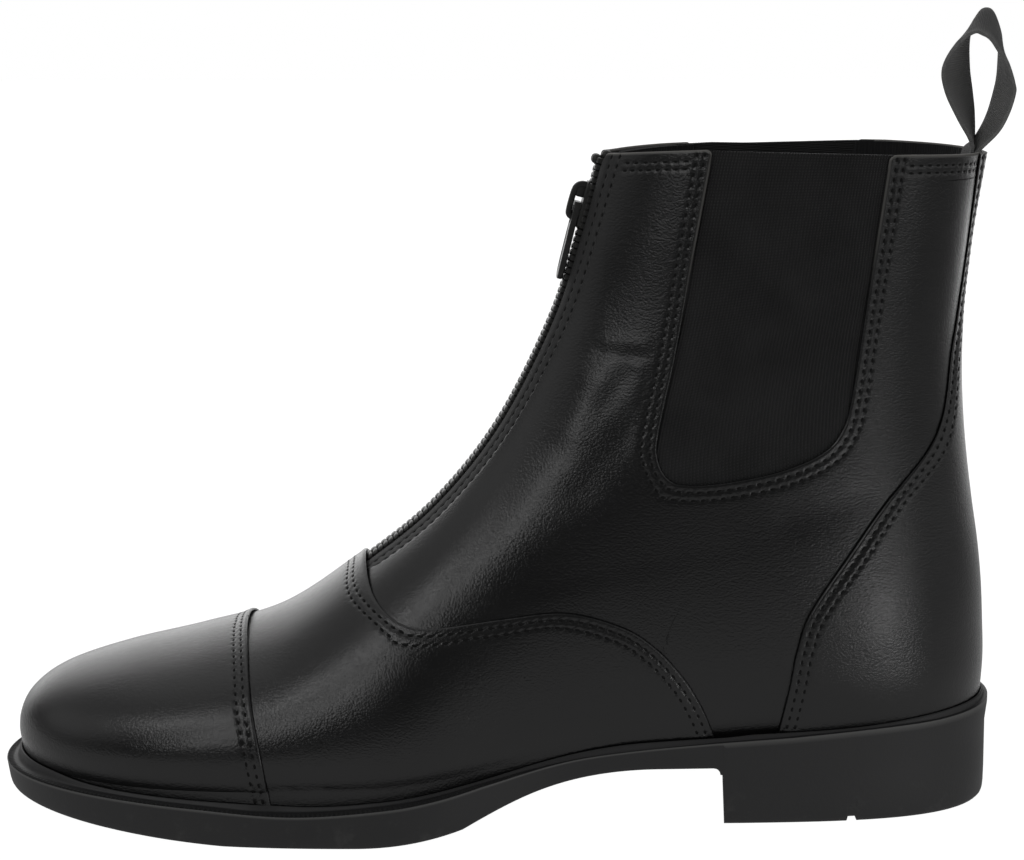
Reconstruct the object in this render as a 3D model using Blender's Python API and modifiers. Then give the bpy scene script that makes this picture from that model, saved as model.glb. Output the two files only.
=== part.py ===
"""Front-zip ankle boot for the left foot, built as separate named solids.

The toe points to -X, the outer side of the foot to -Y, and the sole stands on z = 0.
The upper is a loft of rings around the foot. Every overlay, gore and tape is a shell
taken from the same loft and cut to its seam as the side view shows it.
"""
import math

import bmesh
import bpy
import numpy as np
from mathutils import Matrix, Vector

# Rings of the last, from the sole edge up to the collar.
# Each ring runs from a front point to a back point of the side view.
# half is its half width at the ankle, the radii round its two ends in plan.
FRONT_X, FRONT_Z, BACK_X, BACK_Z, HALF, FRONT_R, BACK_R = range(7)
RINGS = np.array([
    (-0.1415, 0.0150, 0.1364, 0.0300, 0.0325, 0.0160, 0.0270),
    (-0.1422, 0.0220, 0.1369, 0.0410, 0.0345, 0.0160, 0.0270),
    (-0.1392, 0.0290, 0.1364, 0.0520, 0.0352, 0.0160, 0.0260),
    (-0.1300, 0.0354, 0.1356, 0.0635, 0.0353, 0.0160, 0.0250),
    (-0.1120, 0.0412, 0.1342, 0.0750, 0.0350, 0.0160, 0.0240),
    (-0.0900, 0.0464, 0.1322, 0.0870, 0.0345, 0.0160, 0.0230),
    (-0.0660, 0.0538, 0.1304, 0.0990, 0.0338, 0.0160, 0.0220),
    (-0.0425, 0.0700, 0.1289, 0.1120, 0.0330, 0.0160, 0.0215),
    (-0.0220, 0.0870, 0.1280, 0.1260, 0.0322, 0.0160, 0.0215),
    (-0.0040, 0.1100, 0.1280, 0.1420, 0.0316, 0.0155, 0.0220),
    (0.0110, 0.1400, 0.1294, 0.1580, 0.0312, 0.0155, 0.0230),
    (0.0190, 0.1650, 0.1310, 0.1730, 0.0312, 0.0160, 0.0240),
    (0.0250, 0.1875, 0.1330, 0.1875, 0.0315, 0.0160, 0.0240),
])
WIDEST_RING = 1
LAST_RING = len(RINGS) - 1
WIDEST_V = WIDEST_RING / LAST_RING

# Plan of the foot
BALL_HALF = 0.0465
WAIST_HALF = 0.0365
BALL_X_LATERAL = -0.048
BALL_X_MEDIAL = -0.070
WAIST_X = 0.040
TOE_RADIUS = 0.033
TOE_SWING = 0.005
SWING_START_X = -0.020
ARCH_TUCK = 0.005
ARCH_X = 0.015
ARCH_REACH = 0.045
DOME_POWER = 1.9
FEATHER_TUCK = 0.03
FOOT_END_X = -0.045
SHAFT_START_X = 0.045

# Height of the sole's top edge
FOREFOOT_TOP = 0.0122
TOE_RISE = 0.0026
TOE_RISE_X = -0.070
TOE_RISE_REACH = 0.075
ARCH_RISE = 0.0142
ARCH_RISE_X = -0.050
ARCH_RISE_REACH = 0.110
HEEL_RISE = 0.0030
HEEL_RISE_X = 0.080
HEEL_RISE_REACH = 0.060

# Underside of the sole
TOE_SPRING = 0.0030
TOE_SPRING_X = -0.095
TOE_SPRING_REACH = 0.054
ROLL_X = -0.045
SHANK_X = -0.017
ROLL_RISE = 0.0034
SHANK_HEIGHT = 0.0188
SHANK_REACH = 0.057
BREAST_X = 0.0590
BREAST_SLOPE = 0.0015
GROOVE_X = 0.0952
GROOVE_HALF = 0.0020
GROOVE_SLOPE = 0.0003
GROOVE_DEPTH = 0.0013

# Edge of the sole: how far it stands out from the upper, and the steps down its side
WELT_FRONT = 0.0072
WELT_BACK = 0.0032
WELT_X = -0.040
WELT_REACH = 0.070
WELT_SHELF = 0.0020
WELT_FALL_FRONT = 0.0024
WELT_FALL_BACK = 0.0004
LIP_HEIGHT = 0.0012
LIP_STEP = 0.0007
LIP_SLOPE = 0.0006
WALL_DRAFT = 0.0010
BOTTOM_CHAMFER = 0.0007

# Thicknesses
GAP = 0.0003
WALL = 0.0020
OVERLAY = 0.0013
TOE_CAP = 0.0021
GORE_SINK = 0.0005
GORE = 0.0012
INSOLE = 0.0030
INSOLE_CLEAR = 0.0006

# Seams as the side view shows them, (x, z) from the top or throat down to the sole
CAP_SEAM = [(-0.0800, 0.0600), (-0.0756, 0.0483), (-0.0732, 0.0357), (-0.0709, 0.0251), (-0.0682, 0.0100)]
VAMP_SEAM = [(-0.0396, 0.0780), (-0.0403, 0.0736), (-0.0416, 0.0699), (-0.0403, 0.0656),
             (-0.0368, 0.0617), (-0.0312, 0.0588), (-0.0235, 0.0582), (-0.0041, 0.0608),
             (0.0140, 0.0622), (0.0296, 0.0580), (0.0392, 0.0517), (0.0472, 0.0428),
             (0.0528, 0.0333), (0.0570, 0.0230)]
COUNTER_SEAM = [(0.1312, 0.1950), (0.1301, 0.1824), (0.1290, 0.1634), (0.1264, 0.1436),
                (0.1240, 0.1314), (0.1227, 0.1202), (0.1207, 0.1124), (0.1162, 0.1046),
                (0.1041, 0.0917), (0.0940, 0.0782), (0.0826, 0.0616), (0.0789, 0.0510),
                (0.0769, 0.0398), (0.0738, 0.0240)]
GORE_EDGE = [(0.0550, 0.1960), (0.0499, 0.1669), (0.0446, 0.1352), (0.0398, 0.1125), (0.0394, 0.1050),
             (0.0422, 0.0995), (0.0475, 0.0977), (0.0585, 0.0983), (0.0740, 0.1014), (0.0855, 0.1062),
             (0.0910, 0.1125), (0.0936, 0.1225), (0.0972, 0.1489), (0.1033, 0.1960)]
SEAM_STEPS = 2

# Zip
SLOT_HALF = 0.0042
SLOT_START_V = 0.605
TAPE_HALF = 0.0110
TAPE = 0.0008
TAPE_START_V = 0.575
TOOTH_PITCH = 0.0022
TOOTH_HALF = 0.0027
TOOTH_ROOT_HALF = 0.0021
TOOTH_TOP = 0.0003
TOOTH_ROOT = -0.0006
CHAIN_BOTTOM = -0.0020
CHAIN_START_V = 0.615
CHAIN_END_V = 0.990

# Slider and pull tab; along the zip, then out from it
SLIDER_Z = 0.1724
SLIDER_LENGTH = 0.0135
SLIDER_HALF = 0.0038
SLIDER_CHEEK = 0.0008
SLIDER_FLOOR = 0.0006
SLIDER_TOP = 0.0014
SLIDER_SKIRT = -0.0008
CROWN_HALF = 0.0011
CROWN_OUTLINE = [(-0.0048, 0.0012), (-0.0048, 0.0037), (-0.0038, 0.0046), (0.0030, 0.0046),
                 (0.0046, 0.0038), (0.0052, 0.0024), (0.0052, 0.0012), (0.0041, 0.0012),
                 (0.0041, 0.0024), (0.0036, 0.0033), (0.0026, 0.0037), (-0.0032, 0.0037),
                 (-0.0037, 0.0032), (-0.0037, 0.0012)]
PIVOT_ALONG = -0.0002
PIVOT_OUT = 0.00255
TAB_TILT_DEG = 13.6
TAB_THICKNESS = 0.0014
TAB_BAR = 0.0007
TAB_EYE_HALF = 0.0017
TAB_EYE_END = -0.0054
TAB_OUTLINE = [(-0.0030, 0.0007), (0.0030, 0.0007), (0.0033, -0.0060), (0.0036, -0.0185),
               (0.0030, -0.0212), (0.0015, -0.0222), (-0.0015, -0.0222), (-0.0030, -0.0212),
               (-0.0036, -0.0185), (-0.0033, -0.0060)]

# Pull loop: its near and far edges in the side view, a row for each fold
LOOP_HALF = 0.0070
LOOP_THICKNESS = 0.0013
LOOP_STEPS = 3
NEAR_X, NEAR_Z, FAR_X, FAR_Z = range(4)
LOOP_FOLDS = np.array([
    (0.1255, 0.1760, 0.1255, 0.1760),
    (0.1270, 0.1885, 0.1272, 0.1885),
    (0.1256, 0.1960, 0.1290, 0.1975),
    (0.1206, 0.2085, 0.1303, 0.2085),
    (0.1210, 0.2155, 0.1306, 0.2190),
    (0.1250, 0.2203, 0.1324, 0.2255),
    (0.1295, 0.2216, 0.1352, 0.2270),
    (0.1345, 0.2180, 0.1376, 0.2250),
    (0.1384, 0.2132, 0.1390, 0.2180),
    (0.1406, 0.2045, 0.1388, 0.2080),
    (0.1385, 0.1975, 0.1366, 0.1985),
    (0.1318, 0.1915, 0.1310, 0.1918),
    (0.1288, 0.1880, 0.1288, 0.1880),
    (0.1272, 0.1760, 0.1272, 0.1760),
])

# Cutters: how far they reach past the boot
REACH = 0.080
AHEAD_OF_TOE_X = -0.160
BEHIND_HEEL_X = 0.150
OVER_TOE_Z = 0.060
OVER_VAMP = (-0.060, 0.078)
OVER_COLLAR_Z = 0.195
BAND_OUT = 0.006
BAND_IN = 0.008
BAND_LIFT = 0.010
TAPE_BAND_OUT = 0.002

# Facets
COLUMNS = 48
ROWS = 22
SOLE_STATIONS = 27
SOLE_LINE_STEP = 0.008
BAND_POINTS = 14
FINE_SAMPLES = 1500
STEP = 1e-4
WELD = 1e-7
LATERAL = -1.0
MEDIAL = 1.0


def smooth(t):
    """Rise from 0 to 1 with no kink at either end."""
    t = np.clip(t, 0.0, 1.0)
    return t * t * t * (t * (6.0 * t - 15.0) + 10.0)


def through_rows(table, t):
    """Catmull-Rom curve through the rows of a table, t from 0 to 1."""
    table = np.asarray(table, dtype=float)
    spans = len(table) - 1
    place = np.clip(np.asarray(t, dtype=float), 0.0, 1.0) * spans
    row = np.clip(place.astype(int), 0, spans - 1)
    f = (place - row)[..., None]
    ends = np.vstack([2 * table[0] - table[1], table, 2 * table[-1] - table[-2]])
    p0, p1, p2, p3 = ends[row], ends[row + 1], ends[row + 2], ends[row + 3]
    linear = (p2 - p0) * f
    square = (2 * p0 - 5 * p1 + 4 * p2 - p3) * f ** 2
    cube = (3 * p1 - p0 - 3 * p2 + p3) * f ** 3
    return p1 + 0.5 * (linear + square + cube)


def sole_top(x):
    """Height of the edge where the upper meets the sole."""
    toe = TOE_RISE * np.clip((TOE_RISE_X - x) / TOE_RISE_REACH, 0.0, None) ** 2
    arch = ARCH_RISE * smooth((x - ARCH_RISE_X) / ARCH_RISE_REACH)
    heel = HEEL_RISE * smooth((x - HEEL_RISE_X) / HEEL_RISE_REACH)
    return FOREFOOT_TOP + toe + arch + heel


def sole_bottom(x):
    """Height of the sole's underside: toe spring, flat forefoot, shank, heel and its groove."""
    toe = TOE_SPRING * np.clip((TOE_SPRING_X - x) / TOE_SPRING_REACH, 0.0, None) ** 2
    roll = ROLL_RISE * np.clip((x - ROLL_X) / (SHANK_X - ROLL_X), 0.0, 1.0) ** 2
    climb = 1.0 - np.clip((x - SHANK_X) / SHANK_REACH, 0.0, 1.0)
    shank = (SHANK_HEIGHT - ROLL_RISE) * (1.0 - climb ** 2)
    in_groove = np.abs(x - GROOVE_X) < GROOVE_HALF
    heel = np.where(in_groove, GROOVE_DEPTH, 0.0)
    return np.where(x > BREAST_X + 0.5 * BREAST_SLOPE, heel, toe + roll + shank)


RIDGE = through_rows(RINGS, np.linspace(WIDEST_V, 1.0, FINE_SAMPLES))


def ridge_height(x):
    """Height of the top of the foot in the side view."""
    return np.interp(x, RIDGE[:, FRONT_X], RIDGE[:, FRONT_Z])


def last_surface(u, v):
    """Point on the outside of the upper.

    u runs round the foot: 0 at the toe, up to 0.5 along the outer side to the heel,
    and on to 1 along the inner side. v runs from the sole edge (0) to the collar (1).
    """
    u, v = np.broadcast_arrays(np.asarray(u, dtype=float), np.asarray(v, dtype=float))
    ring = through_rows(RINGS, v)
    front_x, front_z = ring[..., FRONT_X], ring[..., FRONT_Z]
    length = ring[..., BACK_X] - front_x
    half = ring[..., HALF]
    turn = np.mod(u, 1.0)
    side = np.where(turn <= 0.5, LATERAL, MEDIAL)
    along = np.where(turn <= 0.5, 2.0 * turn, 2.0 - 2.0 * turn)
    a = 0.5 - 0.5 * np.cos(math.pi * along)
    x = front_x + a * length

    fall = (1.0 - v) ** 4
    edge_line = RINGS[0, FRONT_Z] + a * (RINGS[0, BACK_Z] - RINGS[0, FRONT_Z])
    z = front_z + a * (ring[..., BACK_Z] - front_z) + fall * (sole_top(x) - edge_line)

    # the shaft is an oval whose two ends have their own radius
    front_power = 2.0 * ring[..., FRONT_R] * length / half ** 2
    back_power = 2.0 * ring[..., BACK_R] * length / half ** 2
    back_end = np.sqrt(np.clip(1.0 - a ** back_power, 0.0, 1.0))
    shaft = half * np.sqrt(np.clip(1.0 - (1.0 - a) ** front_power, 0.0, 1.0)) * back_end

    # the foot is the sole's plan, domed up to the ridge
    tip_x = np.where(v < WIDEST_V, front_x, RINGS[WIDEST_RING, FRONT_X])
    ball_x = np.where(side < 0.0, BALL_X_LATERAL, BALL_X_MEDIAL)
    plan = BALL_HALF + (WAIST_HALF - BALL_HALF) * smooth((x - ball_x) / (WAIST_X - ball_x))
    foot_length = RINGS[WIDEST_RING, BACK_X] - RINGS[WIDEST_RING, FRONT_X]
    toe_power = 2.0 * TOE_RADIUS * foot_length / BALL_HALF ** 2
    from_tip = np.clip(1.0 - (x - tip_x) / foot_length, 0.0, 1.0)
    plan = plan * np.sqrt(np.clip(1.0 - from_tip ** toe_power, 0.0, 1.0))
    swell = RINGS[WIDEST_RING, FRONT_Z] - sole_top(RINGS[WIDEST_RING, FRONT_X])
    widest_z = sole_top(x) + swell
    below = v < WIDEST_V
    top = np.where(below, 1.0, np.maximum(ridge_height(x), widest_z + 1e-9))
    front_slip = ridge_height(front_x) - front_z - fall * (sole_top(front_x) - RINGS[0, FRONT_Z])
    slip = np.where(below, 0.0, front_slip) * (1.0 - a) ** 8
    rise = np.clip(1.0 - np.clip(top - z - slip, 0.0, None) / (top - widest_z), 0.0, 1.0)
    tuck = 1.0 - FEATHER_TUCK * np.clip((widest_z - z) / swell, 0.0, 1.0) ** 2
    foot = plan * np.sqrt(1.0 - rise ** DOME_POWER) * back_end * tuck

    width = foot + (shaft - foot) * smooth((x - FOOT_END_X) / (SHAFT_START_X - FOOT_END_X))
    arch = ARCH_TUCK / WAIST_HALF * np.exp(-((x - ARCH_X) / ARCH_REACH) ** 2) * (1.0 - v) ** 3
    width = width * (1.0 - np.where(side > 0.0, arch, 0.0))
    to_tip = np.clip((SWING_START_X - x) / (SWING_START_X - RINGS[WIDEST_RING, FRONT_X]), 0.0, None)
    return np.stack([x, TOE_SWING * to_tip ** 2 + side * width, z], axis=-1)


def last_normal(u, v):
    """Outward unit normal of the upper's surface."""
    u, v = np.broadcast_arrays(np.asarray(u, dtype=float), np.asarray(v, dtype=float))
    round_foot = last_surface(u + STEP, v) - last_surface(u - STEP, v)
    up_shaft = last_surface(u, np.minimum(v + STEP, 1.0)) - last_surface(u, np.maximum(v - STEP, 0.0))
    normal = np.cross(round_foot, up_shaft)
    return normal / np.linalg.norm(normal, axis=-1, keepdims=True)


def clear_scene():
    """Remove what the start-up file holds."""
    for item in list(bpy.data.objects):
        bpy.data.objects.remove(item, do_unlink=True)


def add_collection(name, hidden=False):
    """Make a collection in the scene."""
    group = bpy.data.collections.new(name)
    bpy.context.scene.collection.children.link(group)
    group.hide_render = hidden
    return group


def add_material(name, colour, roughness, metallic=0.0):
    """Plain Principled material."""
    material = bpy.data.materials.new(name)
    material.use_nodes = True
    shader = material.node_tree.nodes["Principled BSDF"]
    shader.inputs["Base Color"].default_value = (*colour, 1.0)
    shader.inputs["Roughness"].default_value = roughness
    shader.inputs["Metallic"].default_value = metallic
    return material


def add_object(name, mesh, group, material=None):
    """Put a mesh into a collection as an object."""
    item = bpy.data.objects.new(name, mesh)
    group.objects.link(item)
    if material is not None:
        mesh.materials.append(material)
    return item


def add_cutter(name, mesh):
    """Put a mesh into the hidden collection of cutters."""
    item = add_object(name, mesh, cutters)
    item.hide_render = True
    item.display_type = "WIRE"
    return item


def mesh_from(name, points, faces):
    """Mesh with outward faces from points and face corners."""
    mesh = bpy.data.meshes.new(name)
    mesh.from_pydata([tuple(p) for p in points], [], faces)
    form = bmesh.new()
    form.from_mesh(mesh)
    bmesh.ops.remove_doubles(form, verts=form.verts, dist=WELD)
    bmesh.ops.recalc_face_normals(form, faces=form.faces)
    form.to_mesh(mesh)
    form.free()
    return mesh


def prism_mesh(name, outline, start, end):
    """Outline in the XZ plane pushed along Y from start to end."""
    form = bmesh.new()
    face = form.faces.new([form.verts.new((x, start, z)) for x, z in outline])
    grown = bmesh.ops.extrude_face_region(form, geom=[face])
    moved = [part for part in grown["geom"] if isinstance(part, bmesh.types.BMVert)]
    bmesh.ops.translate(form, verts=moved, vec=(0.0, end - start, 0.0))
    bmesh.ops.recalc_face_normals(form, faces=form.faces)
    mesh = bpy.data.meshes.new(name)
    form.to_mesh(mesh)
    form.free()
    return mesh


def cut(item, cutter, operation):
    """Boolean modifier with a cutter."""
    modifier = item.modifiers.new(operation.lower(), "BOOLEAN")
    modifier.operation = operation
    modifier.solver = "EXACT"
    modifier.object = cutter


def thicken(item, thickness, side):
    """Solidify an open surface; side is 1 outward, -1 inward, 0 both ways."""
    modifier = item.modifiers.new("thickness", "SOLIDIFY")
    modifier.thickness = thickness
    modifier.offset = side
    modifier.use_even_offset = True


def loft_shell(name, offset, thickness, side, material):
    """Shell of the whole upper: the last's surface, moved off by offset, made thick."""
    u = np.arange(COLUMNS) / COLUMNS
    v = np.linspace(0.0, 1.0, ROWS)
    u_grid, v_grid = np.meshgrid(u, v)
    surface = last_surface(u_grid, v_grid).reshape(-1, 3)
    points = surface + offset * last_normal(u_grid, v_grid).reshape(-1, 3)
    faces = []
    for row in range(ROWS - 1):
        for column in range(COLUMNS):
            right = (column + 1) % COLUMNS
            a = row * COLUMNS + column
            b = row * COLUMNS + right
            c = b + COLUMNS
            d = a + COLUMNS
            # the shorter diagonal of the last's own quad, so that all shells share their facets
            if np.linalg.norm(surface[a] - surface[c]) < np.linalg.norm(surface[b] - surface[d]):
                faces += [(a, b, c), (a, c, d)]
            else:
                faces += [(a, b, d), (b, c, d)]
    mesh = bpy.data.meshes.new(name)
    mesh.from_pydata([tuple(p) for p in points], [], faces)
    item = add_object(name, mesh, parts, material)
    thicken(item, thickness, side)
    return item


def seam(table):
    """Smooth line through the points of a seam."""
    count = (len(table) - 1) * SEAM_STEPS + 1
    return [tuple(p) for p in through_rows(table, np.linspace(0.0, 1.0, count))]


def sole_line(start_x, end_x):
    """Lower edge of an overlay, just clear of the sole, between two places."""
    count = max(int(abs(end_x - start_x) / SOLE_LINE_STEP), 2)
    x = np.linspace(start_x, end_x, count)
    return [tuple(p) for p in np.stack([x, sole_top(x) + GAP], axis=-1)]


def drop_below_sole(line):
    """The part of a seam that lies above the sole's edge."""
    return [(x, z) for x, z in line if z > float(sole_top(np.float64(x))) + 2.0 * GAP]


def inset(outline, distance):
    """Outline moved inward; its points run anticlockwise in the XZ plane."""
    points = np.array(outline)
    along = np.roll(points, -1, axis=0) - np.roll(points, 1, axis=0)
    along /= np.linalg.norm(along, axis=1, keepdims=True)
    inward = np.stack([-along[:, 1], along[:, 0]], axis=1)
    return [tuple(p) for p in points + distance * inward]


def front_band(start_v, outward, inward):
    """Strip along the front of the shaft in the side view, from start_v past the collar."""
    v = np.linspace(start_v, 1.0, BAND_POINTS)
    line = last_surface(np.zeros_like(v), v)
    normal = last_normal(np.zeros_like(v), v)
    outer = (line + outward * normal)[:, [0, 2]]
    inner = (line - inward * normal)[:, [0, 2]]
    lift = np.array([0.0, BAND_LIFT])
    outer = np.vstack([outer, outer[-1] + lift])
    inner = np.vstack([inner, inner[-1] + lift])
    return [tuple(p) for p in np.vstack([outer, inner[::-1]])]


def stations():
    """Places along u on one side of the sole, with those of the breast and the groove."""
    u = list(np.linspace(0.0, 0.5, SOLE_STATIONS))
    groove_ends = (GROOVE_X - GROOVE_HALF, GROOVE_X + GROOVE_HALF)
    sharp = [BREAST_X, BREAST_X + BREAST_SLOPE]
    sharp += [x + shift for x in groove_ends for shift in (-GROOVE_SLOPE, GROOVE_SLOPE)]
    length = RINGS[0, BACK_X] - RINGS[0, FRONT_X]
    for x in sharp:
        share = (x - RINGS[0, FRONT_X]) / length
        u.append(math.acos(1.0 - 2.0 * share) / (2.0 * math.pi))
    return np.array(sorted(u))


def sole_ring(u):
    """Edge of the upper in plan with its outward direction, all the way round."""
    whole = np.concatenate([u, 1.0 - u[-2:0:-1]])
    sole_v = np.zeros_like(whole)
    edge = last_surface(whole, sole_v)
    ahead = last_surface(whole + STEP, sole_v) - last_surface(whole - STEP, sole_v)
    outward = np.stack([ahead[:, 1], -ahead[:, 0]], axis=1)
    outward /= np.linalg.norm(outward, axis=1, keepdims=True)
    return edge[:, 0], edge[:, :2], outward


def stack(name, rings):
    """Solid from a stack of rings, closed above and below by strips across the foot."""
    count = rings.shape[1]
    faces = []
    for row in range(len(rings) - 1):
        for column in range(count):
            right = (column + 1) % count
            faces.append((row * count + column, row * count + right,
                          (row + 1) * count + right, (row + 1) * count + column))
    for base in (0, (len(rings) - 1) * count):
        faces.append((base, base + 1, base + count - 1))
        for column in range(1, count // 2 - 1):
            faces.append((base + column, base + column + 1,
                          base + count - column - 1, base + count - column))
        faces.append((base + count // 2 - 1, base + count // 2, base + count // 2 + 1))
    return mesh_from(name, rings.reshape(-1, 3), faces)


def build_outsole():
    """Unit sole: shelf under the upper, sloped welt, lip, wall and underside."""
    x, edge, outward = sole_ring(stations())
    front = 1.0 - smooth((x - WELT_X) / WELT_REACH)
    welt = WELT_BACK + (WELT_FRONT - WELT_BACK) * front
    top = sole_top(x) - GAP
    lip = top - WELT_FALL_BACK - (WELT_FALL_FRONT - WELT_FALL_BACK) * front
    bottom = sole_bottom(x)
    profile = [
        (np.full_like(x, WELT_SHELF), top),
        (welt, lip),
        (welt, lip - LIP_HEIGHT),
        (welt - LIP_STEP, lip - LIP_HEIGHT - LIP_SLOPE),
        (welt - WALL_DRAFT, bottom + BOTTOM_CHAMFER),
        (welt - WALL_DRAFT - BOTTOM_CHAMFER, bottom),
    ]
    rings = [np.column_stack([edge + out[:, None] * outward, z]) for out, z in profile]
    return add_object("outsole", stack("outsole", np.array(rings)), parts, rubber)


def build_insole():
    """Footbed that lies on the sole inside the upper."""
    x, edge, outward = sole_ring(np.linspace(0.0, 0.5, SOLE_STATIONS))
    plan = edge - (WALL + INSOLE_CLEAR) * outward
    rings = [np.column_stack([plan, sole_top(x) + lift]) for lift in (0.0, INSOLE)]
    return add_object("insole", stack("insole", np.array(rings)), parts, lining)


def build_upper():
    """The wall of the boot, cut open for the gores and the zip."""
    item = loft_shell("upper", 0.0, WALL, -1.0, leather)
    gore_hole = add_cutter("gore_hole", prism_mesh("gore_hole", seam(GORE_EDGE), -REACH, REACH))
    slot = prism_mesh("zip_slot", front_band(SLOT_START_V, BAND_OUT, BAND_IN), -SLOT_HALF, SLOT_HALF)
    cut(item, gore_hole, "DIFFERENCE")
    cut(item, add_cutter("zip_slot", slot), "DIFFERENCE")
    return item


def build_toe_cap():
    """Cap over the toe."""
    item = loft_shell("toe_cap", GAP, TOE_CAP, 1.0, leather)
    edge = drop_below_sole(seam(CAP_SEAM))
    outline = edge + sole_line(edge[-1][0], AHEAD_OF_TOE_X) + [(AHEAD_OF_TOE_X, OVER_TOE_Z)]
    cut(item, add_cutter("toe_cap_form", prism_mesh("toe_cap_form", outline, -REACH, REACH)), "INTERSECT")
    return item


def build_vamp():
    """Overlay between the toe cap and the quarters, with a wing along each side."""
    item = loft_shell("vamp", GAP, OVERLAY, 1.0, leather)
    cap_edge = [(x + GAP, z) for x, z in drop_below_sole(seam(CAP_SEAM))]
    edge = drop_below_sole(seam(VAMP_SEAM))
    outline = [OVER_VAMP] + edge + sole_line(edge[-1][0], cap_edge[-1][0]) + cap_edge[::-1]
    cut(item, add_cutter("vamp_form", prism_mesh("vamp_form", outline, -REACH, REACH)), "INTERSECT")
    return item


def build_counter():
    """Heel counter, narrowing to a backstay up to the collar."""
    item = loft_shell("counter", GAP, OVERLAY, 1.0, leather)
    edge = drop_below_sole(seam(COUNTER_SEAM))
    outline = edge + sole_line(edge[-1][0], BEHIND_HEEL_X) + [(BEHIND_HEEL_X, OVER_COLLAR_Z)]
    cut(item, add_cutter("counter_form", prism_mesh("counter_form", outline, -REACH, REACH)), "INTERSECT")
    return item


def build_gore(name, side):
    """Elastic panel in one side's cut-out, a little below the leather."""
    item = loft_shell(name, -GORE_SINK, GORE, -1.0, elastic)
    outline = inset(seam(GORE_EDGE), GAP)
    form = prism_mesh(name + "_form", outline, 0.0, side * REACH)
    cut(item, add_cutter(name + "_form", form), "INTERSECT")
    return item


def build_zip_tape():
    """Tape behind the slot."""
    item = loft_shell("zip_tape", -(WALL + GAP), TAPE, -1.0, elastic)
    strip = front_band(TAPE_START_V, TAPE_BAND_OUT, BAND_IN)
    form = prism_mesh("zip_tape_form", strip, -TAPE_HALF, TAPE_HALF)
    cut(item, add_cutter("zip_tape_form", form), "INTERSECT")
    return item


def build_zip_chain():
    """Row of closed teeth in the slot: a bar whose section swells at every tooth."""
    fine = np.linspace(CHAIN_START_V, CHAIN_END_V, FINE_SAMPLES)
    line = last_surface(np.zeros_like(fine), fine)
    run = np.concatenate([[0.0], np.cumsum(np.linalg.norm(np.diff(line, axis=0), axis=1))])
    teeth = int(run[-1] / TOOTH_PITCH)
    v = np.interp(np.arange(2 * teeth + 1) * 0.5 * TOOTH_PITCH, run, fine)
    centre = last_surface(np.zeros_like(v), v)
    normal = last_normal(np.zeros_like(v), v)
    crest = np.arange(len(v)) % 2 == 1
    half = np.where(crest, TOOTH_HALF, TOOTH_ROOT_HALF)
    top = np.where(crest, TOOTH_TOP, TOOTH_ROOT)
    across = np.array([0.0, 1.0, 0.0])
    bottom = np.full_like(top, CHAIN_BOTTOM)
    corners = [(-half, bottom), (half, bottom), (half, top), (-half, top)]
    rings = [centre + y[:, None] * across + out[:, None] * normal for y, out in corners]
    points = np.stack(rings, axis=1)
    faces = [(0, 1, 2, 3)]
    for row in range(len(v) - 1):
        for corner in range(4):
            right = (corner + 1) % 4
            faces.append((row * 4 + corner, row * 4 + right, row * 4 + 4 + right, row * 4 + 4 + corner))
    last = (len(v) - 1) * 4
    faces.append((last, last + 1, last + 2, last + 3))
    mesh = mesh_from("zip_chain", points.reshape(-1, 3), faces)
    return add_object("zip_chain", mesh, parts, metal)


def zip_frame():
    """Place and direction of the zip at the slider: along it, across it, out from it."""
    v = np.linspace(SLOT_START_V, 1.0, FINE_SAMPLES)
    line = last_surface(np.zeros_like(v), v)
    at = np.interp(SLIDER_Z, line[:, 2], v)
    centre = Vector(last_surface(0.0, at))
    out = Vector(last_normal(0.0, at))
    across = Vector((0.0, 1.0, 0.0))
    along = across.cross(out)
    return centre, along, across, out


def place_on_zip(item):
    """Turn a piece modelled with X along, Y across and Z out from the zip into its place."""
    centre, along, across, out = zip_frame()
    frame = Matrix((along, across, out)).transposed().to_4x4()
    frame.translation = centre
    item.matrix_world = frame


def build_zip_slider():
    """Slider: a channel over the teeth with a long crown on it."""
    half = SLIDER_HALF
    inner = SLIDER_HALF - SLIDER_CHEEK
    section = [(-half, SLIDER_SKIRT), (-half, SLIDER_TOP), (half, SLIDER_TOP), (half, SLIDER_SKIRT),
               (inner, SLIDER_SKIRT), (inner, SLIDER_FLOOR), (-inner, SLIDER_FLOOR), (-inner, SLIDER_SKIRT)]
    body = prism_mesh("zip_slider", section, -0.5 * SLIDER_LENGTH, 0.5 * SLIDER_LENGTH)
    body.transform(Matrix.Rotation(-0.5 * math.pi, 4, "Z"))
    item = add_object("zip_slider", body, parts, metal)
    crown = add_cutter("crown_form", prism_mesh("crown_form", CROWN_OUTLINE, -CROWN_HALF, CROWN_HALF))
    place_on_zip(item)
    place_on_zip(crown)
    cut(item, crown, "UNION")
    return item


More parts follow.
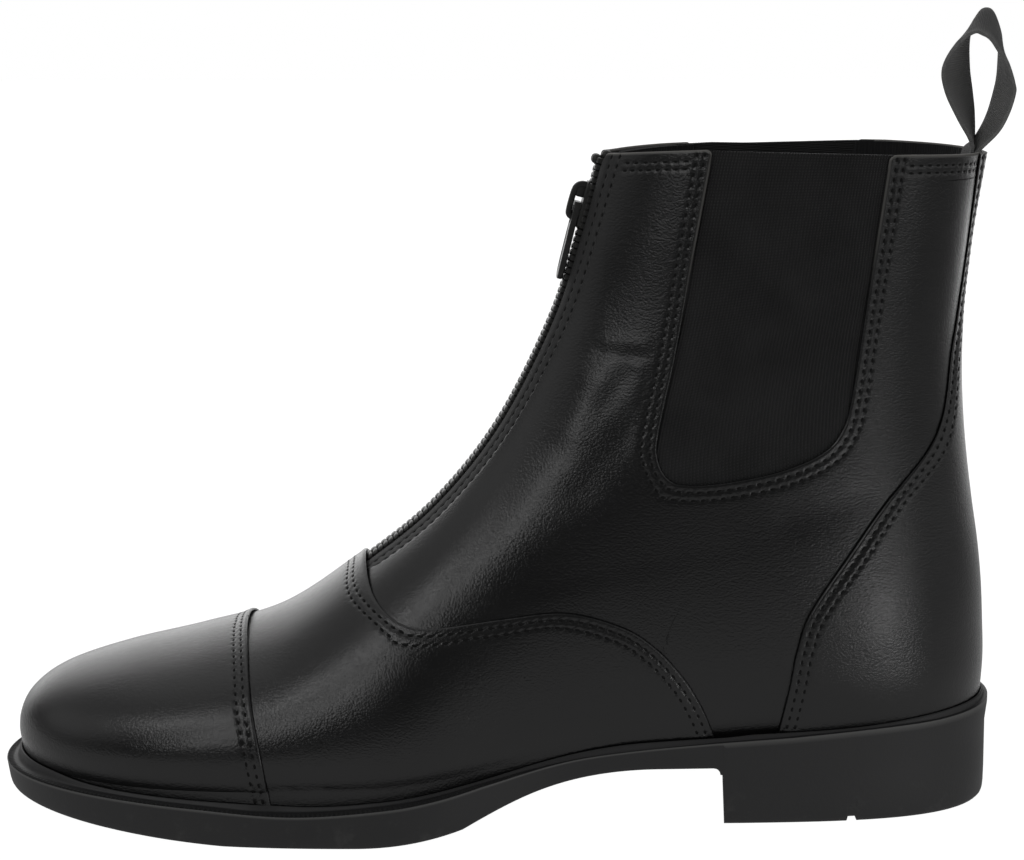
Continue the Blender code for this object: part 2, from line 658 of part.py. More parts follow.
def build_pull_tab():
    """Flat tab with an eye, hung on a bar that turns under the crown."""
    half = 0.5 * TAB_THICKNESS
    mesh = prism_mesh("pull_tab", TAB_OUTLINE, -half, half)
    eye = [(-TAB_EYE_HALF, -TAB_BAR), (-TAB_EYE_HALF, TAB_EYE_END),
           (TAB_EYE_HALF, TAB_EYE_END), (TAB_EYE_HALF, -TAB_BAR)]
    hole_mesh = prism_mesh("tab_eye", eye, -TAB_THICKNESS, TAB_THICKNESS)
    quarter_turn = Matrix.Rotation(0.5 * math.pi, 4, "Z")
    mesh.transform(quarter_turn)
    hole_mesh.transform(quarter_turn)
    item = add_object("pull_tab", mesh, parts, metal)
    hole = add_cutter("tab_eye", hole_mesh)
    centre, along, across, out = zip_frame()
    for piece in (item, hole):
        piece.location = centre + PIVOT_ALONG * along + PIVOT_OUT * out
        piece.rotation_euler = (0.0, math.radians(TAB_TILT_DEG), 0.0)
    cut(item, hole, "DIFFERENCE")
    return item


def build_pull_loop():
    """Webbing loop: a strip between its near edge and its far edge, both legs inside the collar."""
    count = (len(LOOP_FOLDS) - 1) * LOOP_STEPS + 1
    folds = through_rows(LOOP_FOLDS, np.linspace(0.0, 1.0, count))
    near = np.column_stack([folds[:, NEAR_X], np.full(count, -LOOP_HALF), folds[:, NEAR_Z]])
    far = np.column_stack([folds[:, FAR_X], np.full(count, LOOP_HALF), folds[:, FAR_Z]])
    points = np.stack([near, 0.5 * (near + far), far], axis=1)
    faces = []
    for row in range(count - 1):
        for column in range(2):
            low = row * 3 + column
            faces.append((low, low + 1, low + 4, low + 3))
    mesh = bpy.data.meshes.new("pull_loop")
    mesh.from_pydata([tuple(p) for p in points.reshape(-1, 3)], [], faces)
    item = add_object("pull_loop", mesh, parts, webbing)
    thicken(item, LOOP_THICKNESS, 0.0)
    return item


def centre_on_floor():
    """Hang everything on one empty and move it so that the box's bottom centre is the origin."""
    holder = bpy.data.objects.new("boot_frame", None)
    parts.objects.link(holder)
    bpy.context.view_layer.update()
    seen = bpy.context.evaluated_depsgraph_get()
    corners = []
    for item in parts.objects:
        if item.type == "MESH":
            shown = item.evaluated_get(seen)
            corners += [shown.matrix_world @ vertex.co for vertex in shown.data.vertices]
    corners = np.array(corners)
    low = corners.min(axis=0)
    high = corners.max(axis=0)
    for item in list(parts.objects) + list(cutters.objects):
        if item is not holder:
            item.parent = holder
    holder.location = (-0.5 * (low[0] + high[0]), -0.5 * (low[1] + high[1]), -low[2])


clear_scene()
parts = add_collection("zip_boot")
cutters = add_collection("cutters", hidden=True)
leather = add_material("black_leather", (0.014, 0.014, 0.015), 0.38)
rubber = add_material("black_rubber", (0.022, 0.022, 0.023), 0.62)
elastic = add_material("black_elastic", (0.010, 0.010, 0.011), 0.92)
lining = add_material("dark_lining", (0.035, 0.035, 0.037), 0.90)
metal = add_material("black_metal", (0.030, 0.030, 0.032), 0.35, 0.8)
webbing = add_material("grey_webbing", (0.050, 0.050, 0.052), 0.95)

build_outsole()
build_insole()
build_upper()
build_toe_cap()
build_vamp()
build_counter()
build_gore("gore_lateral", LATERAL)
build_gore("gore_medial", MEDIAL)
build_zip_tape()
build_zip_chain()
build_zip_slider()
build_pull_tab()
build_pull_loop()
centre_on_floor()
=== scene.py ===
# %% [markdown]
# # A front-zip ankle boot
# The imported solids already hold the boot's size, its seams and its one hinge, and they stay the frame.
# This lesson lays a finer skin over them: leather panels with rolled edges and sewn rows, ribbed elastic,
# a zip with single teeth, a moulded sole and a webbing loop. Everything is in metres, with the toe
# towards -X, the outer side of the left foot towards -Y and the floor at z = 0.

# %% Load the frame
import math
from types import SimpleNamespace

import bpy
import numpy as np
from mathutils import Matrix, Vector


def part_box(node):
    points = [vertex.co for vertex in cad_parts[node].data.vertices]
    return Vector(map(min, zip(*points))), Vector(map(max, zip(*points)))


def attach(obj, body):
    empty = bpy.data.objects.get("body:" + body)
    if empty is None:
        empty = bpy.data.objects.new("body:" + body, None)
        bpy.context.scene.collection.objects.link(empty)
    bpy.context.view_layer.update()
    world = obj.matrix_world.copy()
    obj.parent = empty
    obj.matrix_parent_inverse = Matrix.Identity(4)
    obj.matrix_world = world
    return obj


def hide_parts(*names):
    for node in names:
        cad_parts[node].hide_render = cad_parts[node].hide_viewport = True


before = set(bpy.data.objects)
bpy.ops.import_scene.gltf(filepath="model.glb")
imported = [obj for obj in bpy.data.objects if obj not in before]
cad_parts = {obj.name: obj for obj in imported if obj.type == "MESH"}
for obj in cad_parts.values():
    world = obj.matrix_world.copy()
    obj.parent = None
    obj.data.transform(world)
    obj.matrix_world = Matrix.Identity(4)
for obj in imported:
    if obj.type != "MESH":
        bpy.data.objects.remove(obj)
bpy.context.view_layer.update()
print("solids:", sorted(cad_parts))

# %% [markdown]
# ## The last
# A shoe is made over a last, a solid foot form, so every panel here is a piece of one surface.
# The surface could be sculpted, but the solids use a formula, and repeating that formula keeps each
# panel exactly where its solid is. A table gives thirteen rings from the sole edge to the collar.
# u runs round the foot (0 at the toe, 0.5 at the heel by the outer side, negative by the inner side),
# and v runs up from the sole edge (0) to the collar (1).

# %% Rings of the last and the plan of the foot
FRONT_X, FRONT_Z, BACK_X, BACK_Z, HALF, FRONT_R, BACK_R = range(7)
RINGS = np.array([
    (-0.1415, 0.0150, 0.1364, 0.0300, 0.0325, 0.0160, 0.0270),
    (-0.1422, 0.0220, 0.1369, 0.0410, 0.0345, 0.0160, 0.0270),
    (-0.1392, 0.0290, 0.1364, 0.0520, 0.0352, 0.0160, 0.0260),
    (-0.1300, 0.0354, 0.1356, 0.0635, 0.0353, 0.0160, 0.0250),
    (-0.1120, 0.0412, 0.1342, 0.0750, 0.0350, 0.0160, 0.0240),
    (-0.0900, 0.0464, 0.1322, 0.0870, 0.0345, 0.0160, 0.0230),
    (-0.0660, 0.0538, 0.1304, 0.0990, 0.0338, 0.0160, 0.0220),
    (-0.0425, 0.0700, 0.1289, 0.1120, 0.0330, 0.0160, 0.0215),
    (-0.0220, 0.0870, 0.1280, 0.1260, 0.0322, 0.0160, 0.0215),
    (-0.0040, 0.1100, 0.1280, 0.1420, 0.0316, 0.0155, 0.0220),
    (0.0110, 0.1400, 0.1294, 0.1580, 0.0312, 0.0155, 0.0230),
    (0.0190, 0.1650, 0.1310, 0.1730, 0.0312, 0.0160, 0.0240),
    (0.0250, 0.1875, 0.1330, 0.1875, 0.0315, 0.0160, 0.0240),
])
WIDEST = 1
WIDEST_V = WIDEST / (len(RINGS) - 1)
BALL_HALF, WAIST_HALF = 0.0465, 0.0365
BALL_X_LATERAL, BALL_X_MEDIAL, WAIST_X = -0.048, -0.070, 0.040
TOE_RADIUS, TOE_SWING, SWING_START_X = 0.033, 0.005, -0.020
ARCH_TUCK, ARCH_X, ARCH_REACH = 0.005, 0.015, 0.045
DOME_POWER, FEATHER_TUCK = 1.9, 0.03
FOOT_END_X, SHAFT_START_X = -0.045, 0.045
FOREFOOT_TOP = 0.0122
TOE_RISE, TOE_RISE_X, TOE_RISE_REACH = 0.0026, -0.070, 0.075
ARCH_RISE, ARCH_RISE_X, ARCH_RISE_REACH = 0.0142, -0.050, 0.110
HEEL_RISE, HEEL_RISE_X, HEEL_RISE_REACH = 0.0030, 0.080, 0.060
WELT_FRONT, WELT_BACK = 0.0072, 0.0032
MM = 0.001
STEP = 1e-4

sole_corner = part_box("outsole")[0]
loop_low, loop_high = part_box("pull_loop")
SHIFT = np.array([
    sole_corner.x - (RINGS[0, FRONT_X] - WELT_FRONT),
    0.5 * (loop_low.y + loop_high.y),
    0.0,
])
print("the boot stands", np.round(1000 * SHIFT, 3), "mm from the last's own origin")


# %% Curves through tables
def smooth(t):
    """Rise from 0 to 1 with no kink at either end: 6t^5 - 15t^4 + 10t^3."""
    t = np.clip(t, 0.0, 1.0)
    return t * t * t * (t * (6.0 * t - 15.0) + 10.0)


def through_rows(table, t):
    """Catmull-Rom curve through the rows of a table, t from 0 to 1, carried on a little past the ends."""
    table = np.asarray(table, dtype=float)
    spans = len(table) - 1
    place = np.asarray(t, dtype=float) * spans
    row = np.clip(place.astype(int), 0, spans - 1)
    f = (place - row)[..., None]
    ends = np.vstack([2 * table[0] - table[1], table, 2 * table[-1] - table[-2]])
    p0, p1, p2, p3 = ends[row], ends[row + 1], ends[row + 2], ends[row + 3]
    linear = (p2 - p0) * f
    square = (2 * p0 - 5 * p1 + 4 * p2 - p3) * f ** 2
    cube = (3 * p1 - p0 - 3 * p2 + p3) * f ** 3
    return p1 + 0.5 * (linear + square + cube)


def running_length(points):
    """Length along a row of points, starting at 0."""
    steps = np.linalg.norm(np.diff(points, axis=0), axis=1)
    return np.concatenate([[0.0], np.cumsum(steps)])


def along_rows(lengths, run, rows):
    """Points at some lengths along rows of points, by straight steps from row to row."""
    return np.stack([np.interp(lengths, run, column) for column in rows.T], axis=-1)


# %% The surface of the last
def sole_top(x):
    """Height of the edge where upper and sole meet: a rise to the toe, to the arch and to the heel."""
    toe = TOE_RISE * np.clip((TOE_RISE_X - x) / TOE_RISE_REACH, 0.0, None) ** 2
    arch = ARCH_RISE * smooth((x - ARCH_RISE_X) / ARCH_RISE_REACH)
    heel = HEEL_RISE * smooth((x - HEEL_RISE_X) / HEEL_RISE_REACH)
    return FOREFOOT_TOP + toe + arch + heel


def side_view(a, v):
    """x and z of the last: a is the share of the way from a ring's front to its back."""
    ring = through_rows(RINGS, v)
    x = ring[..., FRONT_X] + a * (ring[..., BACK_X] - ring[..., FRONT_X])
    edge_line = RINGS[0, FRONT_Z] + a * (RINGS[0, BACK_Z] - RINGS[0, FRONT_Z])
    rise = ring[..., FRONT_Z] + a * (ring[..., BACK_Z] - ring[..., FRONT_Z])
    return x, rise + (1.0 - v) ** 4 * (sole_top(x) - edge_line), ring


RIDGE = through_rows(RINGS, np.linspace(WIDEST_V, 1.0, 1500))


def ridge_height(x):
    """Height of the top of the foot in the side view."""
    return np.interp(x, RIDGE[:, FRONT_X], RIDGE[:, FRONT_Z])


def last_surface(u, v):
    """Point on the outside of the upper.

    The shaft is an oval with its own radius at either end. The foot is the sole's plan, narrowed by
    the root of one minus a power of the height, so that it domes to the ridge. The two are blended
    along x, and the toe swings a little to the inner side.
    """
    u, v = np.broadcast_arrays(np.asarray(u, dtype=float), np.asarray(v, dtype=float))
    turn = np.mod(u, 1.0)
    side = np.where(turn <= 0.5, -1.0, 1.0)
    along = np.where(turn <= 0.5, 2.0 * turn, 2.0 - 2.0 * turn)
    a = 0.5 - 0.5 * np.cos(math.pi * along)
    x, z, ring = side_view(a, v)
    front_x, front_z, half = ring[..., FRONT_X], ring[..., FRONT_Z], ring[..., HALF]
    length = ring[..., BACK_X] - front_x
    fall = (1.0 - v) ** 4

    front_power = 2.0 * ring[..., FRONT_R] * length / half ** 2
    back_power = 2.0 * ring[..., BACK_R] * length / half ** 2
    back_end = np.sqrt(np.clip(1.0 - a ** back_power, 0.0, 1.0))
    shaft = half * np.sqrt(np.clip(1.0 - (1.0 - a) ** front_power, 0.0, 1.0)) * back_end

    below = v < WIDEST_V
    tip_x = np.where(below, front_x, RINGS[WIDEST, FRONT_X])
    ball_x = np.where(side < 0.0, BALL_X_LATERAL, BALL_X_MEDIAL)
    plan = BALL_HALF + (WAIST_HALF - BALL_HALF) * smooth((x - ball_x) / (WAIST_X - ball_x))
    foot_length = RINGS[WIDEST, BACK_X] - RINGS[WIDEST, FRONT_X]
    toe_power = 2.0 * TOE_RADIUS * foot_length / BALL_HALF ** 2
    from_tip = np.clip(1.0 - (x - tip_x) / foot_length, 0.0, 1.0)
    plan = plan * np.sqrt(np.clip(1.0 - from_tip ** toe_power, 0.0, 1.0))
    swell = RINGS[WIDEST, FRONT_Z] - sole_top(RINGS[WIDEST, FRONT_X])
    widest_z = np.maximum(sole_top(x) + swell, side_view(a, WIDEST_V)[1])
    top = np.where(below, 1.0, np.maximum(ridge_height(x), widest_z + 1e-9))
    front_slip = ridge_height(front_x) - front_z - fall * (sole_top(front_x) - RINGS[0, FRONT_Z])
    slip = np.where(below, 0.0, front_slip) * (1.0 - a) ** 8
    rise = np.clip(1.0 - np.clip(top - z - slip, 0.0, None) / (top - widest_z), 0.0, 1.0)
    tuck = 1.0 - FEATHER_TUCK * np.clip((widest_z - z) / swell, 0.0, 1.0) ** 2
    foot = plan * np.sqrt(1.0 - rise ** DOME_POWER) * back_end * tuck

    width = foot + (shaft - foot) * smooth((x - FOOT_END_X) / (SHAFT_START_X - FOOT_END_X))
    arch = ARCH_TUCK / WAIST_HALF * np.exp(-((x - ARCH_X) / ARCH_REACH) ** 2) * (1.0 - v) ** 3
    width = width * (1.0 - np.where(side > 0.0, arch, 0.0))
    to_tip = np.clip((SWING_START_X - x) / (SWING_START_X - RINGS[WIDEST, FRONT_X]), 0.0, None)
    return np.stack([x, TOE_SWING * to_tip ** 2 + side * width, z], axis=-1)


def last_normal(u, v):
    """Outward unit normal of the last: the cross product of its two slopes."""
    u, v = np.broadcast_arrays(np.asarray(u, dtype=float), np.asarray(v, dtype=float))
    round_foot = last_surface(u + STEP, v) - last_surface(u - STEP, v)
    up_shaft = last_surface(u, v + STEP) - last_surface(u, v - STEP)
    normal = np.cross(round_foot, up_shaft)
    return normal / np.linalg.norm(normal, axis=-1, keepdims=True)


# %% [markdown]
# ## Seams on the last
# A pattern maker draws each seam on the side of the last. The tables below are those lines as the side
# view shows them. Newton steps turn each (x, z) into (u, v), so that a seam can be followed on the
# surface, over the ridge and down the other side.

# %% Seam tables
CAP_SEAM = [(-0.0800, 0.0600), (-0.0756, 0.0483), (-0.0732, 0.0357), (-0.0709, 0.0251), (-0.0682, 0.0100)]
VAMP_SEAM = [(-0.0396, 0.0780), (-0.0403, 0.0736), (-0.0416, 0.0699), (-0.0403, 0.0656),
             (-0.0368, 0.0617), (-0.0312, 0.0588), (-0.0235, 0.0582), (-0.0041, 0.0608),
             (0.0140, 0.0622), (0.0296, 0.0580), (0.0392, 0.0517), (0.0472, 0.0428),
             (0.0528, 0.0333), (0.0570, 0.0230)]
COUNTER_SEAM = [(0.1312, 0.1950), (0.1301, 0.1824), (0.1290, 0.1634), (0.1264, 0.1436),
                (0.1240, 0.1314), (0.1227, 0.1202), (0.1207, 0.1124), (0.1162, 0.1046),
                (0.1041, 0.0917), (0.0940, 0.0782), (0.0826, 0.0616), (0.0789, 0.0510),
                (0.0769, 0.0398), (0.0738, 0.0240)]
GORE_EDGE = [(0.0550, 0.1960), (0.0499, 0.1669), (0.0446, 0.1352), (0.0398, 0.1125), (0.0394, 0.1050),
             (0.0422, 0.0995), (0.0475, 0.0977), (0.0585, 0.0983), (0.0740, 0.1014), (0.0855, 0.1062),
             (0.0910, 0.1125), (0.0936, 0.1225), (0.0972, 0.1489), (0.1033, 0.1960)]
SEAM_SAMPLES = 1200
BOTTOM_V = -0.03
NEWTON_STEPS = 16


def solve_side(x, z):
    """a and v of points in the side view: the nearest point of a coarse grid, then Newton steps."""
    a_grid, v_grid = np.meshgrid(np.linspace(0.0, 1.0, 61), np.linspace(0.0, 1.0, 121))
    grid_x, grid_z, _ = side_view(a_grid, v_grid)
    apart = (grid_x.ravel() - x[:, None]) ** 2 + (grid_z.ravel() - z[:, None]) ** 2
    nearest = np.argmin(apart, axis=1)
    a = a_grid.ravel()[nearest]
    v = v_grid.ravel()[nearest]
    for _ in range(NEWTON_STEPS):
        at_x, at_z, _ = side_view(a, v)
        a_x, a_z, _ = side_view(a + STEP, v)
        v_x, v_z, _ = side_view(a, v + STEP)
        slope = np.stack([a_x - at_x, v_x - at_x, a_z - at_z, v_z - at_z]) / STEP
        area = slope[0] * slope[3] - slope[1] * slope[2]
        a = a + np.clip((slope[3] * (x - at_x) - slope[1] * (z - at_z)) / area, -0.1, 0.1)
        v = v + np.clip((slope[0] * (z - at_z) - slope[2] * (x - at_x)) / area, -0.1, 0.1)
        v = np.clip(v, -0.08, 1.08)
    return a, v


def seam_line(table):
    """(u, v) along the outer side of a seam, cut where it meets the ridge, the collar or the sole."""
    line = through_rows(table, np.linspace(0.0, 1.0, SEAM_SAMPLES))
    a, v = solve_side(line[:, 0], line[:, 1])
    on_last = np.flatnonzero((a > 0.0) & (v > BOTTOM_V) & (v < 1.0))
    kept = slice(max(on_last[0] - 1, 0), on_last[-1] + 2)
    a = np.clip(a[kept], 0.0, 1.0)
    v = np.clip(v[kept], BOTTOM_V, 1.0)
    return np.column_stack([np.arccos(1.0 - 2.0 * a) / (2.0 * math.pi), v])


MIRROR = np.array([-1.0, 1.0])
SIDES = (("lateral", np.array([1.0, 1.0])), ("medial", MIRROR))


def over_the_ridge(line):
    """A seam from the outer sole edge over the top of the foot to the inner sole edge."""
    inner = line * MIRROR
    return np.vstack([line[::-1], inner[1:]])


def pick(line, lengths):
    """(u, v) points of a line at the given lengths along it."""
    return along_rows(lengths, running_length(last_surface(line[:, 0], line[:, 1])), line)


def length_of(line):
    """Whole length of a line of (u, v) points on the last."""
    return running_length(last_surface(line[:, 0], line[:, 1]))[-1]


cap_line = over_the_ridge(seam_line(CAP_SEAM))
vamp_half = seam_line(VAMP_SEAM)[::-1]
counter_line = seam_line(COUNTER_SEAM)[::-1]
gore_line = seam_line(GORE_EDGE)
seams = {"cap": cap_line, "half vamp": vamp_half, "counter": counter_line, "gore": gore_line}
for seam_name, line in seams.items():
    print(seam_name, "seam", round(1000 * length_of(line), 1), "mm")


# %% [markdown]
# ## Meshes from arrays
# Each piece is a grid of points. A panel of leather could be a surface with Solidify and Bevel, but
# here its section is a closed loop: along the face, round the rolled edge, back along the flesh side.
# Carried along a seam, the loop makes a closed tube, and two end faces shut it.

# %% Faces of grids
def quads_between(c, right, r, down, rows):
    """Quads from columns c to right and rows r to down, of points numbered column by column."""
    corners = (c * rows + r, c * rows + down, right * rows + down, right * rows + r)
    return np.stack(np.broadcast_arrays(*corners), axis=-1).reshape(-1, 4)


def tube_faces(columns, rows, ring=False):
    """Quads of a grid whose rows run round; end faces shut it, unless its columns run round too."""
    c = np.arange(columns if ring else columns - 1)[:, None]
    r = np.arange(rows)[None, :]
    faces = [quads_between(c, (c + 1) % columns, r, (r + 1) % rows, rows)]
    if not ring:
        faces.append(np.arange(rows)[::-1][None, :])
        faces.append((columns - 1) * rows + np.arange(rows)[None, :])
    return faces


def band_faces(columns, rows):
    """Quads of a grid whose columns run round and whose rows don't."""
    c = np.arange(columns)[:, None]
    r = np.arange(rows - 1)[None, :]
    return quads_between(c, (c + 1) % columns, r, r + 1, rows)


def repeat_faces(faces, copies, points_each):
    """The faces of one small shape for each of its copies."""
    start = points_each * np.arange(copies)[:, None, None]
    return [(group[None] + start).reshape(-1, group.shape[1]) for group in faces]


def enclosed(points, faces):
    """Volume inside a closed mesh: a sixth of the sum of each triangle's triple product."""
    total = 0.0
    for group in faces:
        for k in range(1, group.shape[1] - 1):
            p, q, r = points[group[:, 0]], points[group[:, k]], points[group[:, k + 1]]
            total += np.sum(p * np.cross(q, r)) / 6.0
    return total


def turned_out(points, faces):
    """Faces of a closed mesh, turned round where the volume comes out negative."""
    if enclosed(points, faces) < 0.0:
        return [group[:, ::-1] for group in faces]
    return faces


# %% The piece maker
made = []


def add_piece(name, points, faces, material, body="boot", sharp_deg=50.0, masks=None, uv=None):
    """Mesh object at the origin with its faces outward, riding on a body of the frame."""
    points = points.reshape(-1, 3) + SHIFT
    faces = turned_out(points - points.mean(axis=0), faces)
    corners = np.concatenate([group.ravel() for group in faces])
    sizes = np.concatenate([np.full(len(group), group.shape[1]) for group in faces])
    mesh = bpy.data.meshes.new(name)
    mesh.vertices.add(len(points))
    mesh.vertices.foreach_set("co", points.astype(np.float32).ravel())
    mesh.loops.add(len(corners))
    mesh.loops.foreach_set("vertex_index", corners.astype(np.int32))
    mesh.polygons.add(len(sizes))
    mesh.polygons.foreach_set("loop_start", (np.cumsum(sizes) - sizes).astype(np.int32))
    for mask_name, values in (masks or {}).items():
        layer = mesh.attributes.new(mask_name, "FLOAT", "POINT")
        layer.data.foreach_set("value", np.ascontiguousarray(values, dtype=np.float32).ravel())
    if uv is not None:
        layer = mesh.uv_layers.new(name="UVMap")
        layer.data.foreach_set("uv", uv.reshape(-1, 2)[corners].astype(np.float32).ravel())
    mesh.update(calc_edges=True)
    mesh.validate()
    mesh.shade_smooth()
    mesh.set_sharp_from_angle(angle=math.radians(sharp_deg))
    mesh.materials.append(material)
    item = bpy.data.objects.new(name, mesh)
    bpy.context.scene.collection.objects.link(item)
    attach(item, body)
    triangles = int(np.sum(sizes - 2))
    made.append((name, triangles))
    print(name, triangles, "triangles")
    return item


# %% [markdown]
# ## Finishes
# Leather, rubber, elastic and webbing are told apart by how they scatter light, so each finish is a
# Principled shader with its own relief. Photographs of the surfaces would tie them to one view, so the
# relief is worked out from noise, cells and waves on Object coordinates, or on the piece's UV map where
# threads follow the cloth. Effects that several finishes use, the leather's grain, woven cloth and dusty
# wear, are node groups. Masks that a piece carries on its points say where it is dull, and where it is
# painted paler: partly cut edges, partly painted highlights and painted light.

# %% Small helpers for nodes
def new_node(tree, kind, **values):
    """Node with its settings and unlinked inputs given by name."""
    node = tree.nodes.new(kind)
    for key, value in values.items():
        if key in node.inputs:
            node.inputs[key].default_value = value
        else:
            setattr(node, key, value)
    return node


def math_node(tree, operation, first, second):
    """Math node; each side is a socket or a number."""
    node = tree.nodes.new("ShaderNodeMath")
    node.operation = operation
    for socket, value in zip(node.inputs, (first, second)):
        if isinstance(value, (int, float)):
            socket.default_value = value
        else:
            tree.links.new(value, socket)
    return node.outputs[0]


def between(tree, share, low, high, start=0.0, stop=1.0, curve="LINEAR"):
    """Value that goes from low to high as share goes from start to stop."""
    node = new_node(tree, "ShaderNodeMapRange", interpolation_type=curve)
    for label, value in (("From Min", start), ("From Max", stop), ("To Min", low), ("To Max", high)):
        node.inputs[label].default_value = value
    tree.links.new(share, node.inputs["Value"])
    return node.outputs["Result"]


def mask_of(tree, name):
    """Value of a mask that a piece carries on its points."""
    return new_node(tree, "ShaderNodeAttribute", attribute_name=name).outputs["Fac"]


def mix_colour(tree, share, first, second):
    """Colour between two; each is a socket or three numbers."""
    node = tree.nodes.new("ShaderNodeMix")
    node.data_type = "RGBA"
    tree.links.new(share, node.inputs["Factor"])
    for socket, value in zip((node.inputs[6], node.inputs[7]), (first, second)):
        if isinstance(value, tuple):
            socket.default_value = (*value, 1.0)
        else:
            tree.links.new(value, socket)
    return node.outputs[2]


def new_group(name, inputs, outputs):
    """Node group with float inputs (name, default), a vector input first, and float outputs."""
    group = bpy.data.node_groups.new(name, "ShaderNodeTree")
    group.interface.new_socket("Vector", in_out="INPUT", socket_type="NodeSocketVector")
    for label, default in inputs:
        socket = group.interface.new_socket(label, in_out="INPUT", socket_type="NodeSocketFloat")
        socket.default_value = default
    for label in outputs:
        group.interface.new_socket(label, in_out="OUTPUT", socket_type="NodeSocketFloat")
    start = group.nodes.new("NodeGroupInput")
    end = group.nodes.new("NodeGroupOutput")
    return group, start, end


def use_group(tree, group, vector, **values):
    """Place a node group in a material with its own values."""
    node = tree.nodes.new("ShaderNodeGroup")
    node.node_tree = group
    tree.links.new(vector, node.inputs["Vector"])
    for key, value in values.items():
        node.inputs[key].default_value = value
    return node


def new_material(name, **values):
    """Material with its Principled shader, and the Object coordinates that its patterns read."""
    material = bpy.data.materials.new(name)
    material.use_nodes = True
    tree = material.node_tree
    shader = tree.nodes["Principled BSDF"]
    for key, value in values.items():
        shader.inputs[key.replace("_", " ")].default_value = value
    place = tree.nodes.new("ShaderNodeTexCoord")
    return material, tree, shader, place


def relief(tree, shader, height, distance, strength=1.0):
    """Bump node from a height socket into the shader's normal."""
    bump = new_node(tree, "ShaderNodeBump", Distance=distance, Strength=strength)
    tree.links.new(height, bump.inputs["Height"])
    tree.links.new(bump.outputs["Normal"], shader.inputs["Normal"])


# %% Grain group: pebbled cells with fine pores, and a slow variation
LEATHER_CELLS = 1500.0
PORES_PER_CELL, PEBBLE = 1.7, -0.8

grain_group, start, end = new_group("leather_grain", [("Cells", LEATHER_CELLS)], ["Height", "Variation"])
cells = new_node(grain_group, "ShaderNodeTexVoronoi", feature="F1", Randomness=1.0)
pores = new_node(grain_group, "ShaderNodeTexNoise", Detail=3.0, Roughness=0.6)
drift = new_node(grain_group, "ShaderNodeTexNoise", Scale=70.0, Detail=2.0, Roughness=0.5)
for node in (cells, pores, drift):
    grain_group.links.new(start.outputs["Vector"], node.inputs["Vector"])
grain_group.links.new(start.outputs["Cells"], cells.inputs["Scale"])
fine_scale = math_node(grain_group, "MULTIPLY", start.outputs["Cells"], PORES_PER_CELL)
grain_group.links.new(fine_scale, pores.inputs["Scale"])
pebble = math_node(grain_group, "MULTIPLY", cells.outputs["Distance"], PEBBLE)
both = math_node(grain_group, "ADD", pebble, pores.outputs["Fac"])
grain_group.links.new(both, end.inputs["Height"])
grain_group.links.new(drift.outputs["Fac"], end.inputs["Variation"])

# %% Weave group: two crossed sets of threads, from sine waves along the first two coordinates
THREADS = [("Across", 1600.0), ("Along", 1600.0)]

weave_group, start, end = new_group("woven_threads", THREADS, ["Height", "Fuzz"])
split = weave_group.nodes.new("ShaderNodeSeparateXYZ")
fuzz = new_node(weave_group, "ShaderNodeTexNoise", Scale=900.0, Detail=3.0, Roughness=0.6)
weave_group.links.new(start.outputs["Vector"], split.inputs["Vector"])
weave_group.links.new(start.outputs["Vector"], fuzz.inputs["Vector"])
waves = []
for axis, label in (("X", "Across"), ("Y", "Along")):
    turns = math_node(weave_group, "MULTIPLY", split.outputs[axis], start.outputs[label])
    angle = math_node(weave_group, "MULTIPLY", turns, 2.0 * math.pi)
    waves.append(math_node(weave_group, "SINE", angle, 0.0))
crossed = math_node(weave_group, "MULTIPLY", waves[0], waves[1])
weave_group.links.new(crossed, end.inputs["Height"])
weave_group.links.new(fuzz.outputs["Fac"], end.inputs["Fuzz"])

# %% Wear group: blotches of rubbed or dusty surface, stronger low down on the boot
SPOT_START, SPOT_FULL = 0.55, 0.75

wear_group, start, end = new_group("dusty_wear", [("Patches", 90.0), ("Reach", 0.02)], ["Mask"])
blotch = new_node(wear_group, "ShaderNodeTexNoise", Detail=6.0, Roughness=0.7)
wear_group.links.new(start.outputs["Vector"], blotch.inputs["Vector"])
wear_group.links.new(start.outputs["Patches"], blotch.inputs["Scale"])
split = wear_group.nodes.new("ShaderNodeSeparateXYZ")
wear_group.links.new(start.outputs["Vector"], split.inputs["Vector"])
height = math_node(wear_group, "DIVIDE", split.outputs["Z"], start.outputs["Reach"])
near_floor = math_node(wear_group, "MAXIMUM", math_node(wear_group, "SUBTRACT", 1.0, height), 0.0)
spots = between(wear_group, blotch.outputs["Fac"], 0.0, 1.0, SPOT_START, SPOT_FULL)
wear_group.links.new(math_node(wear_group, "MULTIPLY", spots, near_floor), end.inputs["Mask"])

# %% Leather: a pale mask paints the rims, partly the raw fibres of a cut edge and partly a painted highlight; the mask dull takes the gloss away
ROUGH_LEAST, ROUGH_MOST, DULL_ADDS = 0.15, 0.23, 0.5

leather, tree, shader, place = new_material("black_leather", IOR=1.5, Coat_Weight=0.05, Coat_Roughness=0.15)
grain = use_group(tree, grain_group, place.outputs["Object"], Cells=LEATHER_CELLS)
pale_with_painted_light = mask_of(tree, "pale_with_painted_light")
dyed = mix_colour(tree, grain.outputs["Variation"], (0.0040, 0.0040, 0.0042), (0.0070, 0.0070, 0.0072))
# painted highlight: the pale mask turns the rims pale grey, partly the cut edge's own colour and partly the
# light the rim catches
tree.links.new(mix_colour(tree, pale_with_painted_light, dyed, (0.16, 0.155, 0.145)), shader.inputs["Base Color"])
sheen = between(tree, grain.outputs["Variation"], ROUGH_LEAST, ROUGH_MOST)
handled = math_node(tree, "MAXIMUM", pale_with_painted_light, mask_of(tree, "dull"))
rough = math_node(tree, "ADD", sheen, math_node(tree, "MULTIPLY", handled, DULL_ADDS))
tree.links.new(rough, shader.inputs["Roughness"])
relief(tree, shader, grain.outputs["Height"], 0.08 * MM, 0.80)

